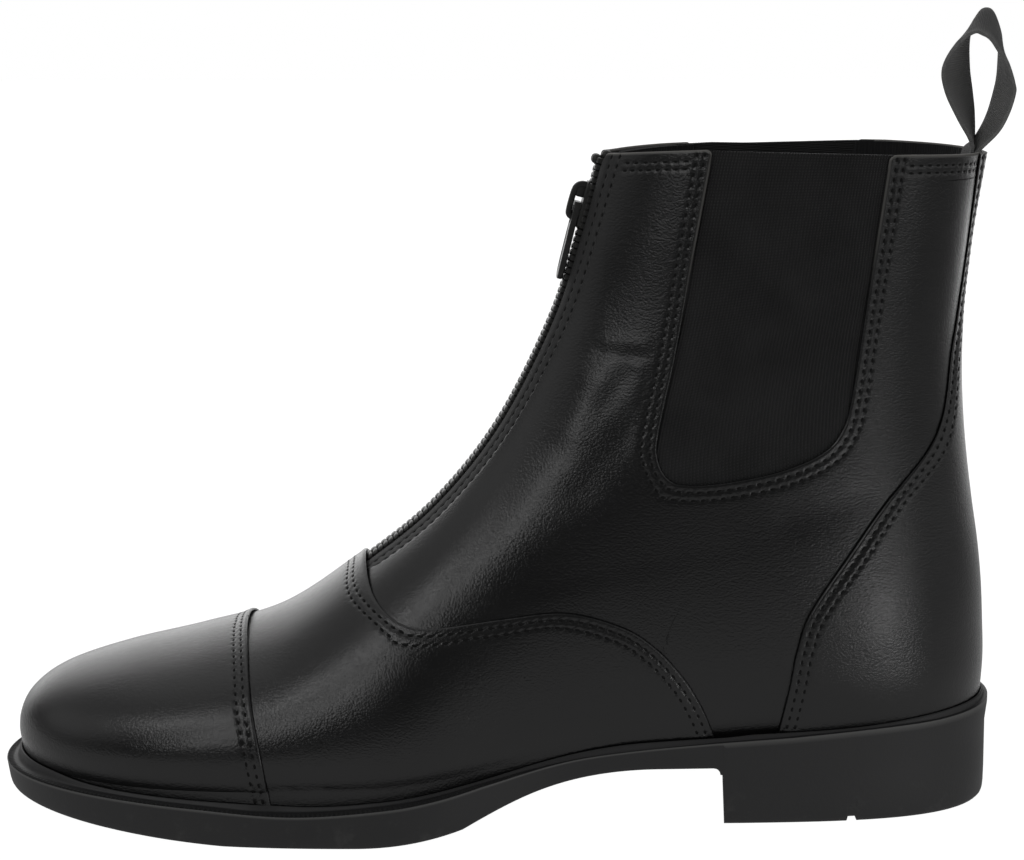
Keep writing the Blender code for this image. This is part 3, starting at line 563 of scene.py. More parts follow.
# %% Thread, rubber and metal
thread, tree, shader, place = new_material("black_thread", Roughness=0.85, IOR=1.35)
twist = use_group(tree, weave_group, place.outputs["Object"], Across=2600.0, Along=2600.0)
shade = mix_colour(tree, twist.outputs["Fuzz"], (0.0020, 0.0020, 0.0020), (0.0050, 0.0050, 0.0050))
tree.links.new(shade, shader.inputs["Base Color"])
relief(tree, shader, twist.outputs["Height"], 0.06 * MM, 0.5)

rubber, tree, shader, place = new_material("black_rubber", IOR=1.5)
skin = use_group(tree, grain_group, place.outputs["Object"], Cells=900.0)
dust = use_group(tree, wear_group, place.outputs["Object"], Patches=160.0, Reach=0.012)
shade = mix_colour(tree, skin.outputs["Variation"], (0.0110, 0.0110, 0.0117), (0.0165, 0.0165, 0.0170))
worn = mix_colour(tree, dust.outputs["Mask"], shade, (0.040, 0.040, 0.039))
# painted highlight: the pale mask paints the bead's crest and the sole's outer edge pale grey, for the light
# they catch
painted_edge_highlight = mix_colour(tree, mask_of(tree, "pale_with_painted_light"), worn, (0.075, 0.075, 0.073))
tree.links.new(painted_edge_highlight, shader.inputs["Base Color"])
tree.links.new(between(tree, skin.outputs["Variation"], 0.46, 0.60), shader.inputs["Roughness"])
relief(tree, shader, skin.outputs["Height"], 0.06 * MM, 0.35)

metal, tree, shader, place = new_material("black_enamel", IOR=1.35, Specular_IOR_Level=0.3)
skin = use_group(tree, grain_group, place.outputs["Object"], Cells=2200.0)
dust = use_group(tree, wear_group, place.outputs["Object"], Patches=700.0, Reach=0.4)
shade = mix_colour(tree, dust.outputs["Mask"], (0.035, 0.035, 0.034), (0.085, 0.085, 0.082))
tree.links.new(shade, shader.inputs["Base Color"])
tree.links.new(between(tree, skin.outputs["Variation"], 0.26, 0.38), shader.inputs["Roughness"])
relief(tree, shader, skin.outputs["Height"], 0.03 * MM, 0.3)


# %% Cloths: elastic, lining, tape and webbing
THREAD_TINT, PAINTED_PALE_GAIN = 0.25, 2.2


def make_cloth(name, dark, light, across, along, depth, on_uv=False, fuzz=2600.0):
    """Woven cloth: crossed threads for relief, fuzz for colour, a soft sheen; a pale mask makes it paler,
    painted light where it marks a lit face.
    """
    material, tree, shader, place = new_material(
        name, Roughness=0.9, IOR=1.4, Sheen_Weight=0.12, Sheen_Roughness=0.4)
    source = place.outputs["UV"] if on_uv else place.outputs["Object"]
    weave = use_group(tree, weave_group, source, Across=across, Along=along)
    fibres = use_group(tree, grain_group, place.outputs["Object"], Cells=fuzz)
    threads = math_node(tree, "MULTIPLY", weave.outputs["Height"], THREAD_TINT)
    colour = mix_colour(tree, math_node(tree, "ADD", threads, fibres.outputs["Variation"]), dark, light)
    # painted light: the pale mask lifts the cloth towards a paler tone, which on the loop paints light onto
    # its inner face
    edge = mix_colour(tree, mask_of(tree, "pale_with_painted_light"), colour, tuple(PAINTED_PALE_GAIN * c for c in light))
    tree.links.new(edge, shader.inputs["Base Color"])
    height = math_node(tree, "ADD", weave.outputs["Height"], fibres.outputs["Height"])
    relief(tree, shader, height, depth, 0.8)
    return material


elastic = make_cloth("black_elastic", (0.0090, 0.0090, 0.0093), (0.0300, 0.0300, 0.0305),
                     across=1.0, along=1150.0, depth=0.10 * MM, on_uv=True)
lining = make_cloth("dark_lining", (0.010, 0.010, 0.011), (0.020, 0.020, 0.021),
                    across=900.0, along=900.0, depth=0.10 * MM)
tape = make_cloth("zip_tape_cloth", (0.006, 0.006, 0.006), (0.012, 0.012, 0.012),
                  across=1500.0, along=1500.0, depth=0.08 * MM)
webbing = make_cloth("grey_webbing", (0.026, 0.026, 0.027), (0.150, 0.150, 0.147),
                     across=1100.0, along=800.0, depth=0.14 * MM, on_uv=True, fuzz=850.0)
print("finishes:", [m.name for m in bpy.data.materials])


# %% [markdown]
# ## Laying panels
# A panel lies between two lines on the last. Each column of its grid is a straight line in (u, v) from
# the one edge to the other. Rows are set at true distances from either edge, so that a sewn row 2 mm
# from the edge is a row of the grid and its groove comes out crisp.

# %% The panel layer
ROLL = np.radians([-90.0, -45.0, 0.0, 45.0, 90.0])
ROLL_RADIUS = 0.55 * MM
COLUMN_SAMPLES = 160
SPREAD_FULL = 2.0 * MM
LEAST_SINE, MOST_SHARE = 0.4, 0.46
TINY = 1e-12


def edge_rows(near, rolled):
    """Distances and lifts of the rows from an edge: round its roll from below, then along the face."""
    if rolled:
        return (np.concatenate([ROLL_RADIUS * (1.0 - np.cos(ROLL)), near]),
                np.concatenate([np.sin(ROLL), np.ones(len(near))]))
    return np.concatenate([[0.0, 0.0], near]), np.concatenate([[-1.0], np.ones(len(near) + 1)])


def lay(edge_a, edge_b, near_a=(), near_b=(), middle=40, inside=8, rolled=(True, True), spread=None):
    """Grid of a panel between two (u, v) edges with the same number of points.

    Lift is 1 on the face, -1 on the flesh side and in between round a rolled edge. A row's distance
    is divided by the sine of the angle between column and edge, so rows run parallel to the edge;
    spread moves the rows of some columns further in from the first edge.
    """
    share = np.linspace(0.0, 1.0, COLUMN_SAMPLES)
    u = edge_a[:, :1] + (edge_b[:, :1] - edge_a[:, :1]) * share
    v = edge_a[:, 1:] + (edge_b[:, 1:] - edge_a[:, 1:]) * share
    path = last_surface(u, v)
    steps = np.linalg.norm(np.diff(path, axis=1), axis=2)
    run = np.concatenate([np.zeros((len(u), 1)), np.cumsum(steps, axis=1)], axis=1)
    total = run[:, -1:]

    reaches = []
    leans = []
    for near, roll, at, inner in ((near_a, rolled[0], 0, 2), (near_b, rolled[1], -1, -3)):
        edge = np.gradient(path[:, at], axis=0)
        column = path[:, inner] - path[:, at]
        sine = np.linalg.norm(np.cross(edge, column), axis=1)
        lean = sine / (np.linalg.norm(edge, axis=1) * np.linalg.norm(column, axis=1) + TINY)
        lean = np.clip(lean, LEAST_SINE, 1.0)[:, None]
        distance, lift = edge_rows(np.asarray(near, dtype=float), roll)
        reach = np.broadcast_to(distance, (len(u), len(distance)))
        if spread is not None and at == 0:
            reach = reach + spread[:, None] * np.clip(distance / SPREAD_FULL, 0.0, 1.0)
        reach = reach / lean
        reach = reach * np.minimum(1.0, MOST_SHARE * total / np.maximum(reach[:, -1:], TINY))
        reaches.append((reach, lift))
        leans.append(lean)

    (reach_a, lift_a), (reach_b, lift_b) = reaches
    first = reach_a[:, -1:]
    last = total - reach_b[:, -1:]
    face = first + (last - first) * np.linspace(0.0, 1.0, middle + 2)[1:-1]
    flesh = total * np.linspace(1.0, 0.0, inside + 2)[1:-1]
    place = np.hstack([reach_a, face, total - reach_b[:, ::-1], flesh])
    lift = np.concatenate([lift_a, np.ones(middle), lift_b[::-1], -np.ones(inside)])

    # one interpolation for all columns: each is moved along by more than the longest column
    apart = 2.0 * total.max() * np.arange(len(u))[:, None]
    at = np.interp((place + apart).ravel(), (run + apart).ravel(), np.tile(share, len(u)))
    at = at.reshape(place.shape)
    u = edge_a[:, :1] + (edge_b[:, :1] - edge_a[:, :1]) * at
    v = edge_a[:, 1:] + (edge_b[:, 1:] - edge_a[:, 1:]) * at
    return SimpleNamespace(
        u=u, v=v, points=last_surface(u, v), normals=last_normal(u, v), lift=lift,
        from_a=place * leans[0], from_b=(total - place) * leans[1],
        rows_a=len(lift_a), face_rows=len(lift_a) + middle + len(lift_b), columns=len(u), rows=len(lift),
        run=running_length(path[:, 0]), dents=np.zeros(place.shape), sewn=[])


# %% The collar's wave, and the height of a panel above the last
# how far the collar stands above its level ring: turns round the foot, millimetres, on either side
COLLAR_OUTER = np.array([(0.0, 0.0), (0.05, 0.2), (0.12, 1.5), (0.17, 2.3), (0.23, 1.9),
                         (0.29, 1.5), (0.33, 1.0), (0.36, 0.8), (0.43, 0.2), (0.50, 0.0)])
COLLAR_INNER = np.array([(0.0, 0.0), (0.07, 0.0), (0.14, 0.6), (0.19, 0.8), (0.23, 0.4),
                         (0.29, 0.9), (0.32, 1.2), (0.35, 1.2), (0.40, 0.8), (0.50, 0.0)])
COLLAR_RAMP_V = 0.80
# metres of height for each unit of v at the collar, in front and behind
COLLAR_STEEP_FRONT, COLLAR_STEEP_BACK = 0.27, 0.174
CORNER_FADE = 3.0
FACE_LIFT = 0.6


def lift_collar(sheet, lower=0.0, corner=0.0, edges=("a",)):
    """Raise the top of a panel to the wavy collar and round its corners by a quarter circle."""
    turn = np.mod(sheet.u + 0.5, 1.0) - 0.5
    outer = np.interp(np.abs(turn), COLLAR_OUTER[:, 0], COLLAR_OUTER[:, 1])
    inner = np.interp(np.abs(turn), COLLAR_INNER[:, 0], COLLAR_INNER[:, 1])
    rise = np.where(turn >= 0.0, outer, inner) * MM - lower
    steep = COLLAR_STEEP_FRONT + (COLLAR_STEEP_BACK - COLLAR_STEEP_FRONT) * 2.0 * np.abs(turn)
    ramp = smooth((sheet.v - COLLAR_RAMP_V) / (1.0 - COLLAR_RAMP_V))
    if corner > 0.0:
        for edge in edges:
            off = np.clip(1.0 - (sheet.from_a if edge == "a" else sheet.from_b) / corner, 0.0, 1.0)
            drop = corner * (1.0 - np.sqrt(1.0 - off ** 2))
            rise = rise - drop * smooth(1.0 - (1.0 - sheet.v) * steep / (CORNER_FADE * corner))
    sheet.v = sheet.v + rise * ramp / steep
    sheet.points = last_surface(sheet.u, sheet.v)
    sheet.normals = last_normal(sheet.u, sheet.v)


def rise_to(sheet, low, high):
    """Points of a panel between two heights above the last, with its dents pressed into the face."""
    share = 0.5 * (sheet.lift[None, :] + 1.0)
    height = low + (high - low) * share + sheet.dents * (sheet.lift[None, :] > FACE_LIFT)
    sheet.final = sheet.points + height[..., None] * sheet.normals
    return sheet.final


# %% [markdown]
# ## Sewing
# A lockstitch pulls the thread into the leather: each stitch lies in a small dimple, and the row as a
# whole in a shallow trough. Thread could be a curve with a bevel, but the boot has over a thousand
# stitches, so one small spindle is repeated as an array along each row.

# %% Rows of stitches
ROW_ONE, ROW_TWO = 2.0 * MM, 4.2 * MM
STITCH_PITCH = 2.8 * MM
STITCH_HALF = 0.98 * MM
STITCH_WIDTH = 0.42 * MM
STITCH_HEIGHT = 0.24 * MM
STITCH_DIP = 0.24 * MM
STITCH_SEAT = 0.03 * MM
STITCH_LOOK = 0.3 * MM
TROUGH = 0.15 * MM
DIMPLE = 0.09 * MM
TROUGH_WIDTH = 0.60 * MM
SPINDLE_T = np.array([-1.0, -0.6, 0.0, 0.6, 1.0])
SPINDLE_R = np.array([0.35, 0.85, 1.0, 0.85, 0.35])
SPINDLE_SIDES = 6


def stitch_phase(line):
    """Stitches along a line of points: running length over the pitch, which is fitted to whole stitches."""
    run = running_length(line)
    count = max(int(round(run[-1] / STITCH_PITCH)), 1)
    return run / run[-1] * count, count


def groove(distance, phase):
    """Depth of a sewn row: a Gaussian trough, deeper in the middle of each stitch."""
    trough = np.exp(-(distance / TROUGH_WIDTH) ** 2)
    return -trough * (TROUGH - DIMPLE * np.cos(2.0 * math.pi * phase))


def sew_row(sheet, row, distances, columns=slice(None)):
    """Press a groove along one row of a panel, and keep the row for its stitches."""
    phase, count = stitch_phase(sheet.points[columns, row])
    off = distances[columns] - distances[columns, row][:, None]
    sheet.dents[columns] += groove(off, phase[:, None])
    sheet.sewn.append((columns, row, count))


def sew_column(sheet, column, rows):
    """Press a groove across a panel along one column, and keep it for its stitches."""
    phase, count = stitch_phase(sheet.points[column, rows])
    off = sheet.run - sheet.run[column]
    sheet.dents[:, rows] += groove(off[:, None], phase[None, :])
    sheet.sewn.append((column, rows, count))


def row_of(distances, wanted):
    """Index of the row that lies at the wanted distance from an edge."""
    return int(np.argmin(np.abs(np.median(distances, axis=0) - wanted)))


def sew_edge(sheet, both=False):
    """The two sewn rows along a panel's first edge, or along both edges."""
    for distance in (ROW_ONE, ROW_TWO):
        row = row_of(sheet.from_a[:, :sheet.rows_a], distance)
        sew_row(sheet, row, sheet.from_a)
        if both:
            sew_row(sheet, sheet.face_rows - 1 - row, sheet.from_b)


def add_stitches(name, sheets):
    """Spindles of thread in the sewn rows of some panels, as one mesh."""
    centres = []
    alongs = []
    ups = []
    for sheet in sheets:
        for first, second, count in sheet.sewn:
            line = sheet.final[first, second]
            normal = sheet.normals[first, second]
            run = running_length(line)
            at = (np.arange(count) + 0.5) / count * run[-1]
            centres.append(along_rows(at, run, line))
            alongs.append(along_rows(at + STITCH_LOOK, run, line) - along_rows(at - STITCH_LOOK, run, line))
            ups.append(along_rows(at, run, normal))
    centre = np.vstack(centres)
    along = np.vstack(alongs)
    along /= np.linalg.norm(along, axis=1, keepdims=True)
    across = np.cross(np.vstack(ups), along)
    across /= np.linalg.norm(across, axis=1, keepdims=True)
    up = np.cross(along, across)
    angle = 2.0 * math.pi * np.arange(SPINDLE_SIDES) / SPINDLE_SIDES
    t, turn = np.meshgrid(SPINDLE_T, angle, indexing="ij")
    radius = np.broadcast_to(SPINDLE_R[:, None], t.shape)
    local = np.stack([STITCH_HALF * t, STITCH_WIDTH * radius * np.cos(turn),
                      STITCH_HEIGHT * radius * np.sin(turn) + STITCH_SEAT - STITCH_DIP * t ** 2], axis=-1)
    axes = np.stack([along, across, up], axis=1)
    points = centre[:, None, :] + np.einsum("pk,skd->spd", local.reshape(-1, 3), axes)
    faces = repeat_faces(tube_faces(len(SPINDLE_T), SPINDLE_SIDES), len(centre), t.size)
    item = add_piece(name, points, faces, thread)


# %% [markdown]
# ## Toe cap
# The cap is the hardest panel, pressed over the toe, and it lies on top of the vamp. Its columns run
# from the seam to the sole edge round the toe. The seam's edge is left standing a little proud, as the
# photograph shows in the outline, with two sewn rows in front of it.

# %% Toe cap
NEAR_SEWN = np.array([0.9, 1.2, 1.45, 1.7, 2.0, 2.3, 2.55, 2.85, 3.15, 3.45, 3.7, 3.95, 4.2, 4.45, 4.7,
                      5.0, 5.5, 6.2, 7.2]) * MM
CAP_COLUMNS = 380
CAP_CORNER_U = 0.075
OVERLAY_LOW, OVERLAY_HIGH = 0.1 * MM, 1.6 * MM
OVERLAY_EDGE, SKIVE = 1.2 * MM, 5.0 * MM
CAP_LOW, CAP_HIGH = 0.3 * MM, 2.4 * MM
CAP_FLARE, CAP_FLARE_REACH = 1.0 * MM, 2.6 * MM
# share of the flare at the sides, and width of its crest in shares of half the seam
CAP_SIDE, CAP_CREST = 0.12, 0.22
CAP_GAP = 0.1 * MM
LAP = 3.0 * MM


def sole_line(first_u, last_u, count):
    """(u, v) points along the lower edge of the upper."""
    return np.column_stack([np.linspace(first_u, last_u, count), np.full(count, BOTTOM_V)])


cap_edge = pick(cap_line, np.linspace(0.0, length_of(cap_line), CAP_COLUMNS))
toe_arc = sole_line(CAP_CORNER_U, -CAP_CORNER_U, 400)
toe_edge = pick(toe_arc, np.linspace(0.0, length_of(toe_arc), CAP_COLUMNS))
cap = lay(cap_edge, toe_edge, NEAR_SEWN, (), middle=62, rolled=(True, False))
sew_edge(cap)
crest = CAP_SIDE + (1.0 - CAP_SIDE) * np.exp(-(np.linspace(-1.0, 1.0, CAP_COLUMNS) / CAP_CREST) ** 2)
flare = CAP_FLARE * crest[:, None] * np.exp(-(cap.from_a / CAP_FLARE_REACH) ** 2)
over_vamp = (OVERLAY_HIGH + CAP_GAP - CAP_LOW) * (1.0 - smooth((cap.from_a - LAP) / (2.0 * LAP)))
points = rise_to(cap, CAP_LOW + over_vamp + 0.5 * flare, CAP_HIGH + flare)
item = add_piece("toe_cap_leather", points, tube_faces(cap.columns, cap.rows), leather)
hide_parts("toe_cap")
add_stitches("toe_cap_stitches", [cap])

# %% [markdown]
# ## Vamp
# The vamp runs from under the cap to its own seam, with a wing along each side of the foot. The seam is
# its free edge, rolled and sewn twice, with a small peak at the throat where the zip ends.

# %% Vamp
VAMP_COLUMNS = 640
THROAT_LIFT, THROAT_SHARE, THROAT_REACH = 0.9 * MM, 0.035, 2.0 * MM
# at the throat the sewn rows lie further in, and come back to the edge along the seam
THROAT_SPREAD, SPREAD_START, SPREAD_REACH = 2.4 * MM, 8.0 * MM, 30.0 * MM
WING_SOLE_U = 0.285
# shares of the seam from the sole to the throat, and of the boundary along the sole and under the cap
VAMP_MATCH = np.array([(0.0, 0.0), (0.23, 0.10), (0.69, 0.515), (1.0, 1.0)])

hidden_half = seam_line([(x - LAP, z) for x, z in CAP_SEAM])[::-1]
sole_part = sole_line(WING_SOLE_U, hidden_half[0, 0], 200)
boundary = np.vstack([sole_part, hidden_half[1:]])
along_seam = np.linspace(0.0, 1.0, VAMP_COLUMNS // 2)
along_boundary = np.interp(along_seam, VAMP_MATCH[:, 0], VAMP_MATCH[:, 1])
half_edge = pick(vamp_half, along_seam * length_of(vamp_half))
half_hidden = pick(boundary, along_boundary * length_of(boundary))
vamp_edge = np.vstack([half_edge, (half_edge * MIRROR)[-2::-1]])
hidden_edge = np.vstack([half_hidden, (half_hidden * MIRROR)[-2::-1]])
from_ridge = np.abs(np.linspace(-1.0, 1.0, len(vamp_edge))) * length_of(vamp_half)
spread = THROAT_SPREAD * (1.0 - smooth((from_ridge - SPREAD_START) / SPREAD_REACH))
vamp = lay(vamp_edge, hidden_edge, NEAR_SEWN, (), middle=42, rolled=(True, False), spread=spread)
sew_edge(vamp)
share = np.linspace(-0.5, 0.5, len(vamp_edge))[:, None]
peak = THROAT_LIFT * np.exp(-(share / THROAT_SHARE) ** 2) * np.exp(-(vamp.from_a / THROAT_REACH) ** 2)
face = OVERLAY_EDGE + (OVERLAY_HIGH - OVERLAY_EDGE) * smooth(vamp.from_a / SKIVE)
points = rise_to(vamp, OVERLAY_LOW + peak, face + peak)
item = add_piece("vamp_leather", points, tube_faces(vamp.columns, vamp.rows), leather)
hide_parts("vamp")
add_stitches("vamp_stitches", [vamp])

# %% [markdown]
# ## Counter and backstay
# One piece cups the heel and narrows to a strip up the back. Its rows go round the heel at one height,
# from the outer seam to the inner seam, and both edges are rolled and sewn twice.

# %% Counter
COUNTER_COLUMNS = 340
# the edge gets thinner where the counter narrows to the strip
STRIP_EDGE, STRIP_V, STRIP_V_REACH = 0.6 * MM, 0.45, 0.2

outer_edge = pick(counter_line, np.linspace(0.0, length_of(counter_line), COUNTER_COLUMNS))
inner_edge = np.column_stack([1.0 - outer_edge[:, 0], outer_edge[:, 1]])
counter = lay(outer_edge, inner_edge, NEAR_SEWN, NEAR_SEWN, middle=40)
lift_collar(counter)
sew_edge(counter, both=True)
to_edge = np.minimum(counter.from_a, counter.from_b)
narrow = smooth((outer_edge[:, 1:] - STRIP_V) / STRIP_V_REACH)
skived = OVERLAY_EDGE + (STRIP_EDGE - OVERLAY_EDGE) * narrow
points = rise_to(counter, OVERLAY_LOW, skived + (OVERLAY_HIGH - skived) * smooth(to_edge / SKIVE))
# painted highlight: the collar edge is marked pale, partly the raw edge's own colour and partly the light its
# rim catches
top_edge = np.zeros((counter.columns, counter.rows))
top_edge[-1] = 1.0
item = add_piece("counter_leather", points, tube_faces(counter.columns, counter.rows), leather,
                 masks={"pale_with_painted_light": top_edge})
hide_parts("counter")
add_stitches("counter_stitches", [counter])


# %% [markdown]
# ## Quarters
# A quarter wraps each side of the ankle round its gore like a horseshoe. Its columns start on the gore's
# edge and end on the zip, under the vamp, at the sole, under the counter and at the back seam in turn.
# Its edge beside the zip is cut, not rolled, and duller where it is handled. Worn leather creases where
# the ankle bends, so a few soft troughs and ridges are pressed in.

# %% Edges of a quarter
ZIP_EDGE = 5.6 * MM
ZIP_LOW_V = 0.568
ZIP_SIDE_V = np.linspace(1.0, ZIP_LOW_V, 120)
MOST_ZIP_U, HALVINGS = 0.12, 40


def u_beside_zip(v, half):
    """u at which the front of the shaft is half a slot's width from the middle, found by halving."""
    low = np.zeros_like(v)
    high = np.full_like(v, MOST_ZIP_U)
    for _ in range(HALVINGS):
        trial = 0.5 * (low + high)
        point = last_surface(trial, v)
        inside = np.abs(point[:, 1]) < half
        low = np.where(inside, trial, low)
        high = np.where(inside, high, trial)
    return low


zip_side = np.column_stack([u_beside_zip(ZIP_SIDE_V, ZIP_EDGE), ZIP_SIDE_V])
BACK_U, BACK_LOW_V = 0.497, 0.700
# where the outer boundary goes on: share of the gore's edge, then u and v
HIDDEN_BOUNDARY = np.array([
    (0.400, 0.030, 0.540), (0.420, 0.100, 0.460), (0.440, 0.170, 0.375), (0.465, 0.235, 0.320),
    (0.490, 0.280, 0.200), (0.510, 0.298, 0.090), (0.525, 0.302, BOTTOM_V), (0.550, 0.335, BOTTOM_V),
    (0.575, 0.372, BOTTOM_V), (0.590, 0.376, 0.120), (0.605, 0.385, 0.290), (0.620, 0.408, 0.410),
    (0.640, 0.445, 0.510), (0.660, 0.478, 0.610), (0.690, BACK_U, BACK_LOW_V), (1.000, BACK_U, 1.000),
])
ZIP_SHARE = 0.385
COLLAR_NEAR = np.array([0.0, 0.12, 0.4, 0.9, 1.5, 2.0, 2.4, 2.7, 3.0, 3.3, 3.6, 4.0, 4.4, 4.8, 5.1,
                        5.4, 5.7, 6.1, 6.6, 7.2]) * MM
COLLAR_ROWS = (3.0 * MM, 5.1 * MM)
ARM_STEP, FAN_STEP = 0.5 * MM, 0.36 * MM
# the columns fan out between these shares of the gore's edge
FAN_SHARES = np.array([0.34, 0.72])


def quarter_edges():
    """The gore's edge and the outer boundary, column by column, on the outer side."""
    whole = length_of(gore_line)
    fan = FAN_SHARES * whole
    hem = COLLAR_NEAR[-1]
    lengths = np.concatenate([
        COLLAR_NEAR,
        np.arange(hem + ARM_STEP, fan[0], ARM_STEP),
        np.arange(fan[0], fan[1], FAN_STEP),
        np.arange(fan[1], whole - hem - 0.5 * ARM_STEP, ARM_STEP),
        whole - COLLAR_NEAR[::-1],
    ])
    inner = pick(gore_line, lengths)
    share = lengths / whole
    down_zip = np.clip((lengths - hem) / (ZIP_SHARE * whole - hem), 0.0, 1.0)
    zip_part = pick(zip_side, np.minimum(lengths, hem) + down_zip * (length_of(zip_side) - hem))
    knots = np.vstack([[ZIP_SHARE, *zip_side[-1]], HIDDEN_BOUNDARY])
    outer = along_rows(share, knots[:, 0], knots[:, 1:])
    outer = np.where((share <= ZIP_SHARE)[:, None], zip_part, outer)
    # up the back the columns keep the same distance from the collar as on the gore
    back_length = length_of(np.linspace((BACK_U, BACK_LOW_V), (BACK_U, 1.0), 60))
    left = whole - lengths
    rise = 1.0 - (1.0 - BACK_LOW_V) * np.clip(left / back_length, 0.0, 1.0)
    near_top = left < hem + ARM_STEP
    outer[near_top, 1] = rise[near_top]
    return inner, outer, share


# %% Creases of the ankle, listed one by one: two ends in the side view, half width, height
CREASES = [
    ((0.0240, 0.1336), (0.0350, 0.1328), 2.2 * MM, -0.15 * MM),
    ((0.0262, 0.1362), (0.0360, 0.1364), 2.2 * MM, 0.10 * MM),
    ((0.0312, 0.1280), (0.0245, 0.1185), 3.0 * MM, -0.19 * MM),
    ((0.0342, 0.1295), (0.0325, 0.1220), 2.6 * MM, 0.13 * MM),
    ((0.0205, 0.1255), (0.0150, 0.1120), 4.5 * MM, 0.30 * MM),
    ((0.0300, 0.1110), (0.0180, 0.0960), 5.0 * MM, -0.30 * MM),
    ((0.0960, 0.0930), (0.0760, 0.0880), 5.5 * MM, -0.25 * MM),
]


def creases(points):
    """Sum of soft folds: a Gaussian of the distance to each fold's line in the side view."""
    total = np.zeros(points.shape[:-1])
    flat = points[..., [0, 2]]
    for start_point, end_point, half_width, height in CREASES:
        first = np.array(start_point)
        line = np.array(end_point) - first
        t = np.clip(((flat - first) @ line) / (line @ line), 0.0, 1.0)
        gap = np.linalg.norm(flat - first - t[..., None] * line, axis=-1)
        total += height * np.exp(-(gap / half_width) ** 2)
    return total


# %% Both quarters
QUARTER_LOW = -1.1 * MM
COLLAR_CORNER = 2.0 * MM
RAW_AND_HIGHLIGHT_REACH = 0.75 * MM
ZIP_RISE, ZIP_RISE_REACH = 0.2 * MM, 9.0 * MM
NEAR_ZIP = np.array([0.9, 1.6, 2.3, 2.8, 3.15, 3.45, 3.7, 3.95, 4.25, 4.6, 5.1, 5.6, 6.0, 6.35, 6.65,
                     6.9, 7.15, 7.45, 7.8, 8.4, 9.2]) * MM
ZIP_ROWS = (3.7 * MM, 6.9 * MM)
# the collar's rows stop short of the gore's edge, of the zip's edge and of the back seam
ROWS_STOP_GORE, ROWS_STOP_ZIP, ROWS_STOP_BACK = 5.5 * MM, 8.4 * MM, 6
# creases fade out before the sewn rows
CREASE_STOP_GORE, CREASE_STOP_ZIP, CREASE_FADE = 5.0 * MM, 9.0 * MM, 4.0 * MM
RIM_ROUND, RIM_LEAST = 0.4 * MM, 0.2
GORE_RAW_AND_HIGHLIGHT, GORE_RAW_HIGHLIGHT_V, GORE_RAW_HIGHLIGHT_REACH = 0.6, 0.80, 0.15
DULL_REACH = 5.0 * MM

inner_edge, outer_edge, gore_share = quarter_edges()
zip_columns = slice(0, int(np.searchsorted(gore_share, ZIP_SHARE)))
print("quarter columns", len(gore_share), "of them beside the zip", zip_columns.stop)


def make_quarter(name, mirror, fold):
    """One quarter: rolled at the gore, cut at the zip, sewn along both and below the collar."""
    sheet = lay(inner_edge * mirror, outer_edge * mirror, NEAR_SEWN, NEAR_ZIP, middle=60,
                rolled=(True, False))
    lift_collar(sheet, corner=COLLAR_CORNER, edges=("a", "b"))
    below = sheet.run
    above = sheet.run[-1] - sheet.run
    sew_edge(sheet)
    for distance in ZIP_ROWS:
        row = row_of(sheet.from_b[:zip_columns.stop, :sheet.face_rows], distance)
        sew_row(sheet, row, sheet.from_b, zip_columns)
    gore_clear = row_of(sheet.from_a[:, :sheet.rows_a], ROWS_STOP_GORE)
    zip_clear = row_of(sheet.from_b[:zip_columns.stop, :sheet.face_rows], ROWS_STOP_ZIP)
    back_clear = sheet.face_rows - ROWS_STOP_BACK
    for distance in COLLAR_ROWS:
        sew_column(sheet, int(np.argmin(np.abs(below - distance))), slice(gore_clear, zip_clear))
        sew_column(sheet, int(np.argmin(np.abs(above - distance))), slice(gore_clear, back_clear))
    clear = smooth((sheet.from_a - CREASE_STOP_GORE) / CREASE_FADE)
    clear = clear * smooth((sheet.from_b - CREASE_STOP_ZIP) / CREASE_FADE)
    sheet.dents += fold * creases(sheet.points) * clear
    to_rim = np.minimum(below, above)[:, None]
    off = 1.0 - np.clip(to_rim / RIM_ROUND, 0.0, 1.0)
    thin = np.sqrt(np.clip(1.0 - off ** 2, RIM_LEAST, 1.0))
    middle = 0.5 * QUARTER_LOW
    beside_zip = (gore_share < ZIP_SHARE)[:, None]
    raised = ZIP_RISE * beside_zip * (1.0 - smooth(sheet.from_b / ZIP_RISE_REACH))
    points = rise_to(sheet, middle + thin * (QUARTER_LOW - middle) + raised, middle - thin * middle + raised)
    # painted highlight: the rims at the collar and up the gore's edge are marked pale, partly raw edge colour
    # and partly the light the rims catch
    top_rim = np.clip(1.0 - to_rim / RAW_AND_HIGHLIGHT_REACH, 0.0, 1.0)
    gore_rim = GORE_RAW_AND_HIGHLIGHT * np.clip(1.0 - sheet.from_a / RAW_AND_HIGHLIGHT_REACH, 0.0, 1.0)
    gore_rim = gore_rim * smooth((sheet.v - GORE_RAW_HIGHLIGHT_V) / GORE_RAW_HIGHLIGHT_REACH)
    dull = beside_zip * (1.0 - smooth((sheet.from_b - ZIP_ROWS[0]) / DULL_REACH))
    masks = {"pale_with_painted_light": np.maximum(top_rim, gore_rim), "dull": dull}
    item = add_piece(name, points, tube_faces(sheet.columns, sheet.rows), leather, masks=masks)
    return item, sheet


quarter_outer, outer_sheet = make_quarter("quarter_lateral", SIDES[0][1], 1.0)
_, inner_sheet = make_quarter("quarter_medial", MIRROR, 0.7)
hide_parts("upper")
add_stitches("quarter_stitches_lateral", [outer_sheet])
add_stitches("quarter_stitches_medial", [inner_sheet])

# %% [markdown]
# ## Lining
# Cloth lines the whole inside, from the collar down to the insole and forward into the toe. Each half is
# laid from the gore's edge to the middle line of the boot, 2 mm below the face of the leather.

